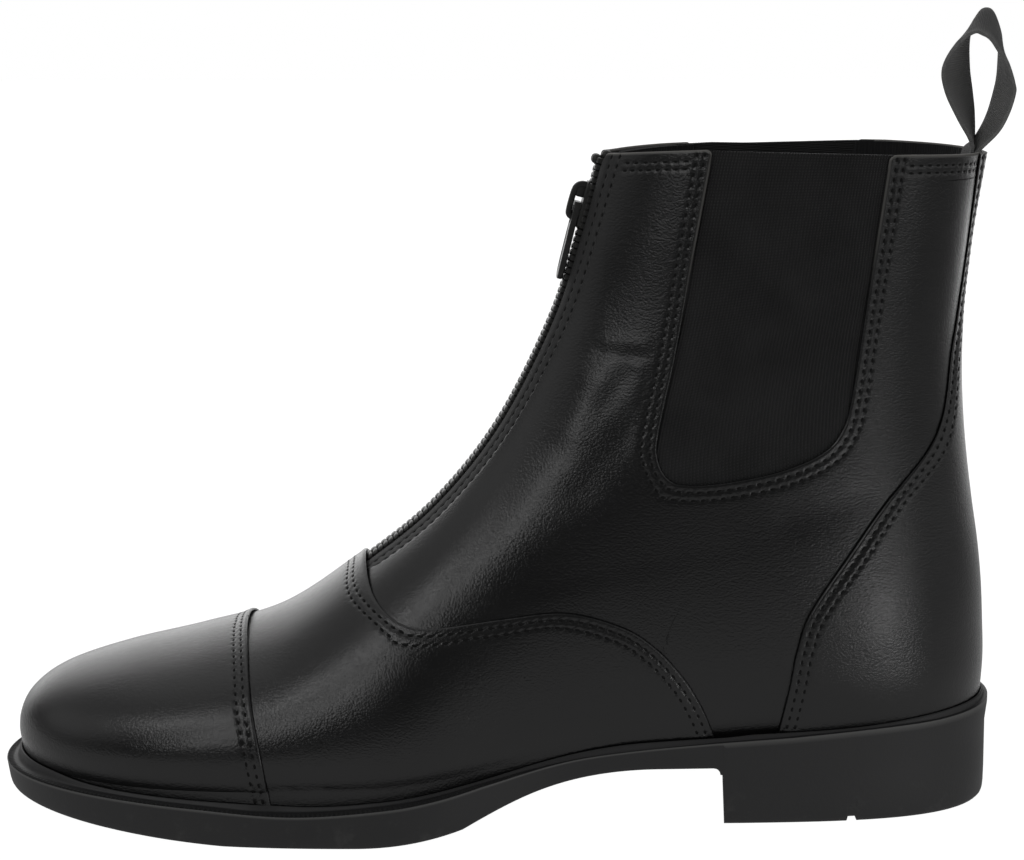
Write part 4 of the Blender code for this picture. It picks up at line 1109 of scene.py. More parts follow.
# %% Lining
LINING_HIGH, LINING_LOW = -2.0 * MM, -2.6 * MM
LINING_BOUNDARY = np.array([
    (0.00, 0.0, 1.00), (0.36, 0.0, 0.58), (0.42, 0.0, 0.10), (0.44, 0.04, 0.0), (0.48, 0.20, 0.0),
    (0.54, 0.30, 0.0), (0.60, 0.42, 0.0), (0.63, 0.5, 0.0), (0.72, 0.5, 0.60), (1.00, 0.5, 1.00),
])
LINING_COLUMNS = 240
LINING_NEAR = (0.8 * MM, 2.0 * MM, 4.0 * MM)
LINING_DROP = 0.5 * MM
# padding below the collar, clear of the gore and of the middle line
COLLAR_PAD, PAD_REACH = 0.85 * MM, 9.0 * MM
PAD_STOP_GORE, PAD_STOP_MIDDLE, PAD_FADE = 7.0 * MM, 12.0 * MM, 3.0 * MM

at = np.linspace(0.0, 1.0, LINING_COLUMNS)
lining_inner = pick(gore_line, at * length_of(gore_line))
lining_outer = along_rows(at, LINING_BOUNDARY[:, 0], LINING_BOUNDARY[:, 1:])
for side_name, mirror in SIDES:
    sheet = lay(lining_inner * mirror, lining_outer * mirror, LINING_NEAR, (), middle=36, inside=36,
                rolled=(True, False))
    lift_collar(sheet, lower=LINING_DROP)
    to_collar = np.minimum(sheet.run, sheet.run[-1] - sheet.run)[:, None]
    padding = COLLAR_PAD * (1.0 - smooth(to_collar / PAD_REACH))
    clear = smooth((sheet.from_a - PAD_STOP_GORE) / PAD_FADE)
    clear = clear * smooth((sheet.from_b - PAD_STOP_MIDDLE) / PAD_FADE)
    points = rise_to(sheet, LINING_LOW, LINING_HIGH + padding * clear)
    item = add_piece("lining_" + side_name, points, tube_faces(sheet.columns, sheet.rows), lining)

# %% [markdown]
# ## Gores
# The side panels are ribbed elastic: rubber cords run up and down inside a knit. The ribs are 0.85 mm apart
# and stand up 0.17 mm, so they are rows of the grid, and the fine cross threads are left to the finish.

# %% Gores
GORE_TOP_V, GORE_LOW_V = 1.0, 0.575
GORE_MARGIN_U = 0.018
RIB_PITCH = 0.85 * MM
RIB_HEIGHT = 0.17 * MM
ROWS_PER_RIB = 4
GORE_HIGH, GORE_LOW = -1.2 * MM, -1.95 * MM
GORE_COLUMNS = 56
GORE_DROP = 0.2 * MM
# above this v the gore's two sides are nearly straight
GORE_ARM_V = 0.69
# the elastic swells a little, away from its sides and from its lower end
GORE_SWELL, SWELL_STOP, SWELL_FADE = 0.5 * MM, 5.0 * MM, 6.0 * MM
SWELL_STOP_LOW, SWELL_FADE_LOW = 6.0 * MM, 8.0 * MM

gore_v = np.linspace(GORE_TOP_V, GORE_LOW_V, GORE_COLUMNS)
lowest = int(np.argmin(gore_line[:, 1]))
front_arm = gore_line[:lowest][gore_line[:lowest, 1] > GORE_ARM_V]
rear_arm = gore_line[lowest:][gore_line[lowest:, 1] > GORE_ARM_V]
front_fit = np.polyfit(front_arm[:, 1], front_arm[:, 0], 2)
rear_fit = np.polyfit(rear_arm[:, 1], rear_arm[:, 0], 2)
gore_front = np.column_stack([np.polyval(front_fit, gore_v) - GORE_MARGIN_U, gore_v])
gore_rear = np.column_stack([np.polyval(rear_fit, gore_v) + GORE_MARGIN_U, gore_v])
gore_width = length_of(np.linspace(gore_front[0], gore_rear[0], 60))
ribs = int(gore_width / RIB_PITCH)
for side_name, mirror in SIDES:
    sheet = lay(gore_front * mirror, gore_rear * mirror, (), (), middle=ribs * ROWS_PER_RIB, inside=24,
                rolled=(False, False))
    lift_collar(sheet, lower=GORE_DROP)
    face = np.arange(sheet.rows) - sheet.rows_a
    ripple = RIB_HEIGHT * np.cos(2.0 * math.pi * face / ROWS_PER_RIB)
    on_face = (face >= 0) & (face < ribs * ROWS_PER_RIB)
    inset = np.minimum(sheet.from_a, sheet.from_b) - SWELL_STOP
    from_low = (sheet.run[-1] - sheet.run)[:, None] - SWELL_STOP_LOW
    swell = GORE_SWELL * smooth(inset / SWELL_FADE) * smooth(from_low / SWELL_FADE_LOW)
    sheet.dents += np.where(on_face, ripple, 0.0)[None, :] + swell
    points = rise_to(sheet, GORE_LOW, GORE_HIGH)
    uv = np.stack(np.broadcast_arrays(face / ROWS_PER_RIB + 0.25, sheet.run[:, None]), axis=-1)
    item = add_piece("gore_web_" + side_name, points, tube_faces(sheet.columns, sheet.rows), elastic, uv=uv)
    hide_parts("gore_" + side_name)
print("gore", round(1000 * gore_width, 1), "mm wide with", ribs, "ribs")

# %% [markdown]
# ## Zip
# The tape lies behind the slot, and teeth from either side mesh along its middle. A tooth is a rounded
# block, a superellipsoid that narrows towards the middle, and one array holds all of them. Two stops on
# either side end the row at the collar.

# %% Tape
TAPE_HALF = 10.0 * MM
TAPE_START_V = 0.575
TAPE_HIGH, TAPE_LOW = -1.65 * MM, -2.1 * MM
CHAIN_V = (0.586, 0.998)

tape_v = np.linspace(TAPE_START_V, CHAIN_V[1], 90)
tape_edge = np.column_stack([u_beside_zip(tape_v, TAPE_HALF), tape_v])
sheet = lay(tape_edge, tape_edge * MIRROR, (), (), middle=30, inside=10, rolled=(False, False))
points = rise_to(sheet, TAPE_LOW, TAPE_HIGH)
item = add_piece("zip_tape_web", points, tube_faces(sheet.columns, sheet.rows), tape)
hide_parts("zip_tape")

# %% Rounded blocks, and places along the zip
POLE_DEG = 80.0


def squared(wave, power):
    """A wave raised to a power with its sign kept, which turns a circle into a rounded square."""
    return np.sign(wave) * np.abs(wave) ** power


def blob(half_size, power, rings=7, sides=10):
    """Closed superellipsoid: sine and cosine raised to a power, poles closed by small end faces."""
    height = np.radians(np.linspace(-POLE_DEG, POLE_DEG, rings))[:, None]
    turn = (2.0 * math.pi * (np.arange(sides) + 0.5) / sides)[None, :]
    x = squared(np.sin(height), power) * np.ones_like(turn)
    y = squared(np.cos(height), power) * squared(np.cos(turn), power)
    z = squared(np.cos(height), power) * squared(np.sin(turn), power)
    return np.stack([x, y, z], axis=-1).reshape(-1, 3) * np.array(half_size), tube_faces(rings, sides)


def zip_line(v):
    """Middle of the zip with its directions: along it, across it and out from it."""
    centre = last_surface(np.zeros_like(v), v)
    out = last_normal(np.zeros_like(v), v)
    across = np.broadcast_to([0.0, 1.0, 0.0], out.shape)
    along = np.cross(across, out)
    return centre, np.stack([along, across, out], axis=-2)


def along_zip(lengths):
    """v at lengths along the zip from its lower end."""
    fine = np.linspace(*CHAIN_V, 1500)
    return np.interp(lengths, running_length(last_surface(np.zeros_like(fine), fine)), fine)


# %% Teeth and stops
TOOTH_PITCH = 1.9 * MM
TOOTH_REACH = (-0.8 * MM, 4.3 * MM)
TOOTH_HALF = 0.93 * MM
TOOTH_TAPER = 0.10
TOOTH_TOP, TOOTH_BOTTOM = 0.70 * MM, -1.75 * MM
# stops at the top: how far below the chain's end, and how far out from the surface
STOP_PLACES = np.array([-0.6, 1.7]) * MM
STOP_LIFTS = np.array([-1.9, 0.5]) * MM
STOP_SIZE = (1.4 * MM, 1.3 * MM, 1.5 * MM)
STOP_OUT = 1.5 * MM

chain_length = running_length(last_surface(np.zeros(400), np.linspace(*CHAIN_V, 400)))[-1]
tooth_count = int(chain_length / TOOTH_PITCH)
tooth_size = (TOOTH_HALF, 0.5 * (TOOTH_REACH[1] - TOOTH_REACH[0]), 0.5 * (TOOTH_TOP - TOOTH_BOTTOM))
tooth, tooth_faces = blob(tooth_size, power=0.45)
tooth[:, 0] *= 1.0 - TOOTH_TAPER * (1.0 - tooth[:, 1] / tooth_size[1])
stop, stop_faces = blob(STOP_SIZE, power=0.8)
sets = []
stops = []
for side, start_length in ((1.0, 0.0), (-1.0, 0.5 * TOOTH_PITCH)):
    centre, axes = zip_line(along_zip(start_length + TOOTH_PITCH * np.arange(tooth_count)))
    local = tooth + np.array([0.0, 0.5 * sum(TOOTH_REACH), 0.5 * (TOOTH_TOP + TOOTH_BOTTOM)])
    local = local * np.array([1.0, side, 1.0])
    sets.append(centre[:, None, :] + np.einsum("pk,skd->spd", local, axes))
    stop_centre, stop_axes = zip_line(along_zip(chain_length - STOP_PLACES))
    stop_local = stop * np.array([1.0, side, 1.0]) + np.array([0.0, side * STOP_OUT, 0.0])
    stop_centre = stop_centre + STOP_LIFTS[:, None] * stop_axes[:, 2]
    stops.append(stop_centre[:, None, :] + np.einsum("pk,skd->spd", stop_local, stop_axes))
count = len(tooth)
outer_faces = repeat_faces(tooth_faces, tooth_count, count)
mirrored = [group[:, ::-1] + tooth_count * count for group in outer_faces]
start_stop = 2 * tooth_count * count
stop_copies = [group + start_stop for group in repeat_faces(stop_faces, len(STOP_PLACES), len(stop))]
stop_mirrored = [group[:, ::-1] + len(STOP_PLACES) * len(stop) for group in stop_copies]
points = np.vstack([part.reshape(-1, 3) for part in sets + stops])
item = add_piece("zip_teeth", points, outer_faces + mirrored + stop_copies + stop_mirrored, metal)
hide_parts("zip_chain")

# %% [markdown]
# ## Slider and pull tab
# The slider is a cast block that rides over the teeth. A crown arches over it and holds the tab's bar.
# It is made lying flat, x along the zip, y across and z out, and then turned into place. The tab is a
# ring of sections round its eye, and it rides on its own body, so that it swings on the hinge.

# %% Slider
SLIDER_Z = 172.4 * MM
SLIDER_SIZE = (6.75 * MM, 3.8 * MM)
SLIDER_FLOOR, SLIDER_TOP = 0.6 * MM, 1.5 * MM
# the plate is narrower below its shoulder
PLATE_NARROW, SHOULDER, SHOULDER_REACH = 0.88, -2.0 * MM, 6.0 * MM
CHEEK = (6.2 * MM, 0.45 * MM, 1.1 * MM)
CHEEK_INSET, CHEEK_RISE = 0.5 * MM, 0.35 * MM
CROWN_PATH = np.array([(-4.25, 0.8), (-4.30, 2.6), (-4.0, 3.8), (-3.0, 4.35), (0.0, 4.45),
                       (3.4, 4.3), (4.8, 3.7), (5.5, 2.5), (5.6, 0.8)]) * MM
CROWN_WEB = (1.9 * MM, 1.1 * MM, 1.6 * MM)
CROWN_WEB_PLACE = (3.6 * MM, 0.0, 2.5 * MM)
CROWN_SECTION = (1.2 * MM, 0.85 * MM)
CROWN_SIDES = 12

front_v = np.linspace(0.6, 1.0, 1500)
slider_v = np.interp(SLIDER_Z, last_surface(np.zeros_like(front_v), front_v)[:, 2], front_v)
slider_centre, slider_axes = zip_line(np.array([slider_v]))


def onto_zip(local):
    """Points of the slider's own frame, turned into their place on the zip."""
    return slider_centre[0] + local.reshape(-1, 3) @ slider_axes[0]


def join(parts):
    """Several closed shapes as one list of points and faces."""
    points = np.vstack([p for p, _ in parts])
    starts = np.cumsum([0] + [len(p) for p, _ in parts[:-1]])
    return points, [group + s for (_, faces), s in zip(parts, starts) for group in faces]


# %% Cast the slider
plate_size = (*SLIDER_SIZE, 0.5 * (SLIDER_TOP - SLIDER_FLOOR))
plate, plate_faces = blob(plate_size, power=0.35, rings=15, sides=24)
plate[:, 1] *= PLATE_NARROW + (1.0 - PLATE_NARROW) * smooth((plate[:, 0] - SHOULDER) / SHOULDER_REACH)
plate[:, 2] += 0.5 * (SLIDER_TOP + SLIDER_FLOOR)
cheek, cheek_faces = blob(CHEEK, power=0.5, rings=9, sides=10)
cheek_places = [(0.0, side * (SLIDER_SIZE[1] - CHEEK_INSET), CHEEK_RISE) for side in (-1.0, 1.0)]
web, web_faces = blob(CROWN_WEB, power=0.5, rings=9, sides=12)
path = through_rows(CROWN_PATH, np.linspace(0.0, 1.0, 40))
ahead = np.gradient(path, axis=0)
ahead /= np.linalg.norm(ahead, axis=1, keepdims=True)
turn = 2.0 * math.pi * (np.arange(CROWN_SIDES) + 0.5) / CROWN_SIDES
rounded = np.stack([squared(np.cos(turn), 0.5), squared(np.sin(turn), 0.5)], axis=-1)
out_of_path = np.stack([-ahead[:, 1], ahead[:, 0]], axis=-1)
thick = CROWN_SECTION[1] * rounded[None, :, 1, None] * out_of_path[:, None, :]
crown = np.stack([path[:, None, 0] + thick[..., 0],
                  np.broadcast_to(CROWN_SECTION[0] * rounded[None, :, 0], thick.shape[:2]),
                  path[:, None, 1] + thick[..., 1]], axis=-1)
shapes = [
    (plate, plate_faces),
    *((cheek + np.array(place), cheek_faces) for place in cheek_places),
    (web + np.array(CROWN_WEB_PLACE), web_faces),
    (crown.reshape(-1, 3), tube_faces(len(path), CROWN_SIDES)),
]
points, faces = join([(shape, turned_out(shape, faces)) for shape, faces in shapes])
item = add_piece("slider_cast", onto_zip(points), faces, metal)
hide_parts("zip_slider")

# %% Pull tab
PIVOT = (-0.2 * MM, 0.0, 2.55 * MM)
TAB_TILT = math.radians(13.6)
TAB_HALF = 0.85 * MM
# half width and length of the tab's outline and of its eye, from the bar down
TAB_OUTLINE = np.array([(0.0, 0.58), (2.2, 0.58), (2.95, 0.25), (3.15, -2.5), (3.3, -6.0),
                        (3.55, -12.0), (3.6, -18.5), (3.35, -20.6), (2.5, -21.8), (0.0, -22.2)]) * MM
EYE_OUTLINE = np.array([(0.0, -0.7), (1.25, -0.7), (1.6, -0.95), (1.7, -1.6), (1.7, -2.6),
                        (1.7, -3.4), (1.7, -4.4), (1.55, -5.05), (1.2, -5.4), (0.0, -5.4)]) * MM
OUTLINE_SAMPLES = 300
TAB_POINTS = 72
# both faces have a shallow plain panel below the eye
TAB_RECESS, PANEL_TOP, PANEL_SHARE = 0.18 * MM, -8.0 * MM, 0.9


def closed_outline(half_outline, count):
    """Both halves of an outline, evenly spaced round it."""
    t = np.linspace(0.0, 1.0, OUTLINE_SAMPLES)
    half = through_rows(half_outline, t)
    whole = np.vstack([half, half[-2:0:-1] * MIRROR, half[:1]])
    share = np.concatenate([t, 2.0 - t[-2:0:-1], [2.0]])
    return along_rows(np.linspace(0.0, 2.0, count, endpoint=False), share, whole)


# %% Cast the tab
# a section from the eye to the outer edge: share of the way and height in half thicknesses
SECTION = np.array([(0.00, -0.6), (0.00, 0.6), (0.05, 1.0), (0.35, 1.0), (0.60, 1.0),
                    (0.80, 1.0), (0.93, 1.0), (0.985, 0.85), (1.00, 0.45), (1.00, -0.45),
                    (0.985, -0.85), (0.93, -1.0), (0.60, -1.0), (0.35, -1.0), (0.05, -1.0)])

outer = closed_outline(TAB_OUTLINE, TAB_POINTS)
eye = closed_outline(EYE_OUTLINE, TAB_POINTS)
flat = eye[:, None, :] + (outer - eye)[:, None, :] * SECTION[None, :, :1]
level = np.broadcast_to(TAB_HALF * SECTION[None, :, 1], flat.shape[:2])
on_panel = (np.abs(SECTION[:, 1]) == 1.0) & (SECTION[:, 0] < PANEL_SHARE)
in_panel = (flat[..., 1] < PANEL_TOP) & on_panel[None, :]
level = np.where(in_panel, level - np.sign(level) * TAB_RECESS, level)
local = np.stack([flat[..., 1], flat[..., 0], level], axis=-1).reshape(-1, 3)
pivot = onto_zip(np.array([PIVOT]))[0]
tilt = np.array([(math.sin(TAB_TILT), 0.0, math.cos(TAB_TILT)), (0.0, 1.0, 0.0)])
hang = np.vstack([tilt, np.cross(tilt[0], tilt[1])])
faces = tube_faces(TAB_POINTS, len(SECTION), ring=True)
item = add_piece("tab_cast", pivot + local @ hang, faces, metal, body="tab")
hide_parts("pull_tab")

# %% [markdown]
# ## Pull loop
# The webbing leaves the back of the collar, opens into a loop and comes back. A row of the table gives
# one fold: where its near edge and its far edge are in the side view. The strip between them gets its
# thickness along its own normal, with thicker selvedges. Borders are a little paler, and the inner face is
# painted paler: painted light, where the light falls on it.

# %% Loop
LOOP_HALF = 7.0 * MM
LOOP_THICK = 1.2 * MM
LOOP_FOLDS = np.array([
    (0.1276, 0.1760, 0.1278, 0.1760), (0.1292, 0.1868, 0.1298, 0.1868), (0.1290, 0.1903, 0.1324, 0.1900),
    (0.1249, 0.1973, 0.1324, 0.1973), (0.1213, 0.2046, 0.1316, 0.2037), (0.1204, 0.2110, 0.1305, 0.2110),
    (0.1238, 0.2174, 0.1304, 0.2195), (0.1286, 0.2208, 0.1330, 0.2256), (0.1312, 0.2203, 0.1352, 0.2270),
    (0.1336, 0.2188, 0.1372, 0.2255), (0.1362, 0.2152, 0.1392, 0.2200), (0.1386, 0.2119, 0.1392, 0.2147),
    (0.1405, 0.2065, 0.1390, 0.2083), (0.1407, 0.2037, 0.1382, 0.2037), (0.1391, 0.1982, 0.1368, 0.1982),
    (0.1364, 0.1932, 0.1350, 0.1938), (0.1313, 0.1880, 0.1322, 0.1890), (0.1302, 0.1860, 0.1306, 0.1860),
    (0.1290, 0.1760, 0.1292, 0.1760),
])
LOOP_COLUMNS = 260
LOOP_ACROSS = 15
ROUND_POWER, ROUND_LEAST = 14, 0.45
SELVEDGE, SELVEDGE_REACH = 0.14, 0.13
INNER_PALE = 0.24
BORDER_PALE, BORDER_START, BORDER_REACH = 0.35, 0.80, 0.12

folds = through_rows(LOOP_FOLDS, np.linspace(0.0, 1.0, LOOP_COLUMNS))
across = np.linspace(-1.0, 1.0, LOOP_ACROSS)
edge_near = np.column_stack([folds[:, 0], np.full(LOOP_COLUMNS, -LOOP_HALF), folds[:, 1]])
edge_far = np.column_stack([folds[:, 2], np.full(LOOP_COLUMNS, LOOP_HALF), folds[:, 3]])
share = 0.5 * (across + 1.0)
strip = edge_near[:, None, :] + (edge_far - edge_near)[:, None, :] * share[None, :, None]
normal = np.cross(np.gradient(strip, axis=0), np.gradient(strip, axis=1))
normal /= np.linalg.norm(normal, axis=-1, keepdims=True)
half_thick = 0.5 * LOOP_THICK * np.sqrt(np.clip(1.0 - np.abs(across) ** ROUND_POWER, ROUND_LEAST, 1.0))
half_thick = half_thick * (1.0 + SELVEDGE * np.exp(-((1.0 - np.abs(across)) / SELVEDGE_REACH) ** 2))
front_face = strip + half_thick[None, :, None] * normal
back_face = strip - half_thick[None, :, None] * normal
points = np.concatenate([front_face, back_face[:, ::-1]], axis=1)
run = running_length(strip[:, LOOP_ACROSS // 2])
width = np.concatenate([share, share[::-1]]) * 2.0 * LOOP_HALF
uv = np.stack(np.broadcast_arrays(width[None, :] + run[:, None], run[:, None] - width[None, :]), axis=-1)
to_border = np.concatenate([np.abs(across), np.abs(across[::-1])])
border = BORDER_PALE * smooth((to_border - BORDER_START) / BORDER_REACH)
# painted light: the inner face is painted paler because light falls on it
inner_face = np.repeat([0.0, INNER_PALE], LOOP_ACROSS)
masks = {"pale_with_painted_light": np.broadcast_to(np.maximum(inner_face, border), points.shape[:2])}
faces = tube_faces(LOOP_COLUMNS, 2 * LOOP_ACROSS)
item = add_piece("loop_webbing", points, faces, webbing, uv=uv, masks=masks)
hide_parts("pull_loop")
print("loop strip", round(1000 * run[-1], 1), "mm long")

# %% [markdown]
# ## Sole
# The unit sole is moulded rubber: a bead against the upper, a sloping welt with a wheeled margin round
# the forefoot, a lip, a wall and an underside with heel and tread. Its section is carried round the edge
# of the upper, and strips across the foot close it above and below. The bead's crest and the outer edge
# carry a painted highlight: a mask on their rows paints them paler, for the light these rounded edges catch.

# %% Section of the sole
TOE_SPRING, TOE_SPRING_X, TOE_SPRING_REACH = 0.0054, -0.080, 0.069
ROLL_X, SHANK_X, ROLL_RISE = -0.045, -0.017, 0.0034
SHANK_HEIGHT, SHANK_REACH = 0.0163, 0.057
BREAST_X, BREAST_SLOPE, BREAST_FILLET = 0.0578, 0.0012, 0.0020
# the front of the heel is set back on the inner side
BREAST_SLANT, SLANT_REACH = 0.0100, 0.030
GROOVE_X, GROOVE_HALF, GROOVE_SLOPE, GROOVE_DEPTH = 0.0952, 0.0013, 0.0003, 0.0013
WELT_X, WELT_REACH = -0.040, 0.070
WHEEL_PITCH, WHEEL_DEPTH, WHEEL_END_X = 1.3 * MM, 0.42 * MM, 0.002
VALLEY = 0.8 * MM
# along the foot: how high the bead against the upper stands, and the height of the outer edge
BEAD_LINE = np.array([(-0.1490, -0.2), (-0.1310, 0.3), (-0.1205, -0.4), (-0.1113, -0.7), (-0.0970, -0.9),
                      (-0.0770, -1.2), (-0.0620, -1.9), (-0.0520, -1.8), (-0.0400, -0.9), (-0.0210, 0.0),
                      (-0.0030, -0.1), (0.0120, -0.4), (0.0290, -1.0), (0.0440, -1.5), (0.0590, -1.1),
                      (0.0670, -0.3), (0.0900, 0.5), (0.1200, 0.9), (0.1400, 1.6)])
EDGE_LINE = np.array([(-0.1490, 10.4), (-0.1360, 11.6), (-0.1175, 11.5), (-0.0890, 10.3), (-0.0610, 8.9),
                      (-0.0330, 11.3), (-0.0120, 15.1), (0.0180, 20.2), (0.0510, 23.6), (0.0780, 25.5),
                      (0.1015, 27.2), (0.1193, 28.1), (0.1336, 29.0), (0.1400, 29.4)])
# the bead goes round the outside of the toe cap, and further in behind it
CAP_OUT, OVERLAY_OUT, CAP_END_X, CAP_END_REACH = 3.0 * MM, 2.1 * MM, -0.076, 0.012
# rows of the bead: how far out from its middle, and how far below its crest
BEAD_ROWS = np.array([(-2.4, -1.2), (-0.85, -1.2), (-0.60, -0.7), (-0.45, -0.35), (-0.22, -0.08), (0.0, 0.0),
                      (0.22, -0.10), (0.42, -0.45)])
# rows of the margin: share of the way to the edge, share of the drop, depth of the wheel marks there
MARGIN_ROWS = np.array([(0.05, 0.35, 0.0), (0.12, 0.80, 0.0), (0.24, 1.0, 0.0), (0.44, 1.0, 0.0),
                        (0.53, 1.0, 0.7), (0.62, 1.0, 1.0), (0.74, 1.0, 1.0), (0.85, 1.0, 1.0),
                        (0.91, 1.0, 0.6), (0.955, 1.0, 0.0), (0.99, 1.0, 0.0)])
# along the foot: how far in from its edge the wall ends
TAPER_LINE = np.array([(-0.1490, 1.0), (-0.1300, 0.9), (-0.1150, 0.4), (-0.0950, -0.5), (-0.0700, -1.0),
                       (-0.0450, -0.9), (-0.0200, -0.3), (0.0, 0.0), (0.0550, 0.2), (0.0650, 0.0),
                       (0.0900, -0.3), (0.1400, -0.4)])
# rows of the wall: share of the way down, rounding
WALL = np.array([(0.00, 0.00), (0.06, 0.02), (0.25, 0.0), (0.50, 0.0), (0.75, 0.0),
                 (0.90, 0.1), (0.955, 0.25), (0.985, 0.50), (1.00, 0.90)])
EDGE_ROUND, EDGE_DROP = 0.3 * MM, 0.09 * MM
# the lip round the heel stands out from the wall
LIP_OUT, LIP_X, LIP_REACH = 0.7 * MM, 0.030, 0.050
# rows of the whole section that carry a painted highlight, and how strong it is
BEAD_TOP_ROW, BEAD_HIGHLIGHT = 5, 0.5
EDGE_ROWS, EDGE_HIGHLIGHT = (18, 19), 1.0


# %% Heights along the foot
def along_foot(table, x):
    """Value of a table along the foot, by a smooth curve through its rows."""
    place = np.interp(x, table[:, 0], np.linspace(0.0, 1.0, len(table)))
    return through_rows(table[:, 1:], place)[..., 0] * MM


def sole_bottom(x):
    """Height of the underside: toe spring, roll behind the ball, shank, then the heel and its groove."""
    toe = TOE_SPRING * np.clip((TOE_SPRING_X - x) / TOE_SPRING_REACH, 0.0, None) ** 1.2
    roll = ROLL_RISE * np.clip((x - ROLL_X) / (SHANK_X - ROLL_X), 0.0, 1.0) ** 2
    climb = 1.0 - np.clip((x - SHANK_X) / SHANK_REACH, 0.0, 1.0)
    shank = (SHANK_HEIGHT - ROLL_RISE) * (1.0 - climb ** 2)
    into_corner = np.clip((x - BREAST_X) / BREAST_FILLET + 1.0, 0.0, 1.0)
    fillet = BREAST_FILLET * (1.0 - np.sqrt(1.0 - into_corner ** 2))
    heel = np.where(np.abs(x - GROOVE_X) < GROOVE_HALF, GROOVE_DEPTH, 0.0)
    return np.where(x > BREAST_X + 0.5 * BREAST_SLOPE, heel, toe + roll + shank - fillet)


def u_of_x(x):
    """u on the sole edge at a place along the foot."""
    share = np.clip((x - RINGS[0, FRONT_X]) / (RINGS[0, BACK_X] - RINGS[0, FRONT_X]), 0.0, 1.0)
    return np.arccos(1.0 - 2.0 * share) / (2.0 * math.pi)


# %% Stations round the sole: four to each wheel mark, then wider ones, with the heel's sharp corners
HEEL_STEP = 1.4 * MM
edge_u = np.linspace(0.0, 0.5, 3000)
edge_run = running_length(last_surface(edge_u, np.zeros_like(edge_u)))
wheel_end = np.interp(u_of_x(WHEEL_END_X), edge_u, edge_run)
marks = int(wheel_end / WHEEL_PITCH)
fine_run = np.arange(4 * marks + 1) * 0.25 * WHEEL_PITCH
coarse_run = np.linspace(fine_run[-1], edge_run[-1], int((edge_run[-1] - fine_run[-1]) / HEEL_STEP))[1:]
half_u = np.interp(np.concatenate([fine_run, coarse_run]), edge_run, edge_u)
mark_phase = np.concatenate([0.25 * np.arange(4 * marks + 1), np.zeros(len(coarse_run))])
corners = [BREAST_X - share * BREAST_FILLET for share in (1.0, 0.6, 0.3, 0.1)]
corners += [BREAST_X, BREAST_X + BREAST_SLOPE]
for groove_side in (GROOVE_X - GROOVE_HALF, GROOVE_X + GROOVE_HALF):
    corners += [groove_side - GROOVE_SLOPE, groove_side + GROOVE_SLOPE]
half_u = np.concatenate([half_u, [u_of_x(x) for x in corners]])
mark_phase = np.concatenate([mark_phase, np.zeros(len(corners))])
order = np.argsort(half_u)
half_u = half_u[order]
mark_phase = mark_phase[order]
half_x = last_surface(half_u, np.zeros_like(half_u))[:, 0]
set_back = half_x + BREAST_SLANT * np.exp(-((half_x - BREAST_X) / SLANT_REACH) ** 2)
inner_u = u_of_x(set_back)
whole_u = np.concatenate([half_u, 1.0 - inner_u[-2:0:-1]])
paired_x = np.concatenate([half_x, half_x[-2:0:-1]])
phase = np.concatenate([mark_phase, mark_phase[-2:0:-1]])
stations = len(whole_u)
print("sole stations", stations, "wheel marks", 2 * marks)


# %% Carry the section round
def edge_and_outward(u):
    """Sole edge of the last and level unit vectors away from it: its direction, turned by a right angle."""
    level = np.zeros_like(u)
    ahead = last_surface(u + STEP, level) - last_surface(u - STEP, level)
    outward = np.stack([ahead[:, 1], -ahead[:, 0]], axis=1)
    return last_surface(u, level), outward / np.linalg.norm(outward, axis=1, keepdims=True)


edge, outward = edge_and_outward(whole_u)
edge_x = edge[:, 0]
front = 1.0 - smooth((edge_x - WELT_X) / WELT_REACH)
welt = WELT_BACK + (WELT_FRONT - WELT_BACK) * front
crest = sole_top(edge_x) + along_foot(BEAD_LINE, edge_x)
lip = along_foot(EDGE_LINE, edge_x)
bottom = sole_bottom(paired_x)
middle = OVERLAY_OUT + (CAP_OUT - OVERLAY_OUT) * (1.0 - smooth((edge_x - CAP_END_X) / CAP_END_REACH))
wheel = WHEEL_DEPTH * (0.5 - 0.5 * np.cos(2.0 * math.pi * phase)) * (edge_x < WHEEL_END_X)
out_bead = middle[:, None] + BEAD_ROWS[None, :, 0] * MM
z_bead = crest[:, None] + BEAD_ROWS[None, :, 1] * MM
valley = crest - VALLEY
inner_out = middle + BEAD_ROWS[-1, 0] * MM
out_margin = inner_out[:, None] + (welt - inner_out)[:, None] * MARGIN_ROWS[None, :, 0]
z_margin = valley[:, None] + (lip - valley)[:, None] * MARGIN_ROWS[None, :, 1]
z_margin -= wheel[:, None] * MARGIN_ROWS[None, :, 2]
z_margin[:, -1] -= EDGE_DROP
low_edge = lip - EDGE_ROUND
taper = along_foot(TAPER_LINE, edge_x)
out_wall = welt[:, None] - taper[:, None] * WALL[None, :, 0] - WALL[None, :, 1] * MM
z_wall = low_edge[:, None] + (bottom - low_edge)[:, None] * WALL[None, :, 0]
lip_out = LIP_OUT * smooth((edge_x - LIP_X) / LIP_REACH)
out_margin += lip_out[:, None] * MARGIN_ROWS[None, :, 0]
out_wall[:, :2] += lip_out[:, None]
out = np.hstack([out_bead, out_margin, out_wall])
height = np.hstack([z_bead, z_margin, z_wall])
section_rows = out.shape[1]
xy = edge[:, None, :2] + out[..., None] * outward[:, None, :]
side_points = np.concatenate([xy, height[..., None]], axis=-1)

# %% Strips across the foot, above and below, with the tread
HALF_ACROSS = np.array([0.0, 0.03, 0.06, 0.10, 0.115, 0.13, 0.2, 0.3, 0.4, 0.5])
TREAD_PITCH, TREAD_WIDTH, TREAD_DEPTH = 4.2 * MM, 1.3 * MM, 0.7 * MM
# the bars stop at this share of the way across, and their sides slope
TREAD_STOP, TREAD_FADE, BAR_SLOPE = 0.10, 0.03, 0.3
TREAD_SPANS = [(-0.118, -0.030), (0.066, 0.091), (0.100, 0.124)]

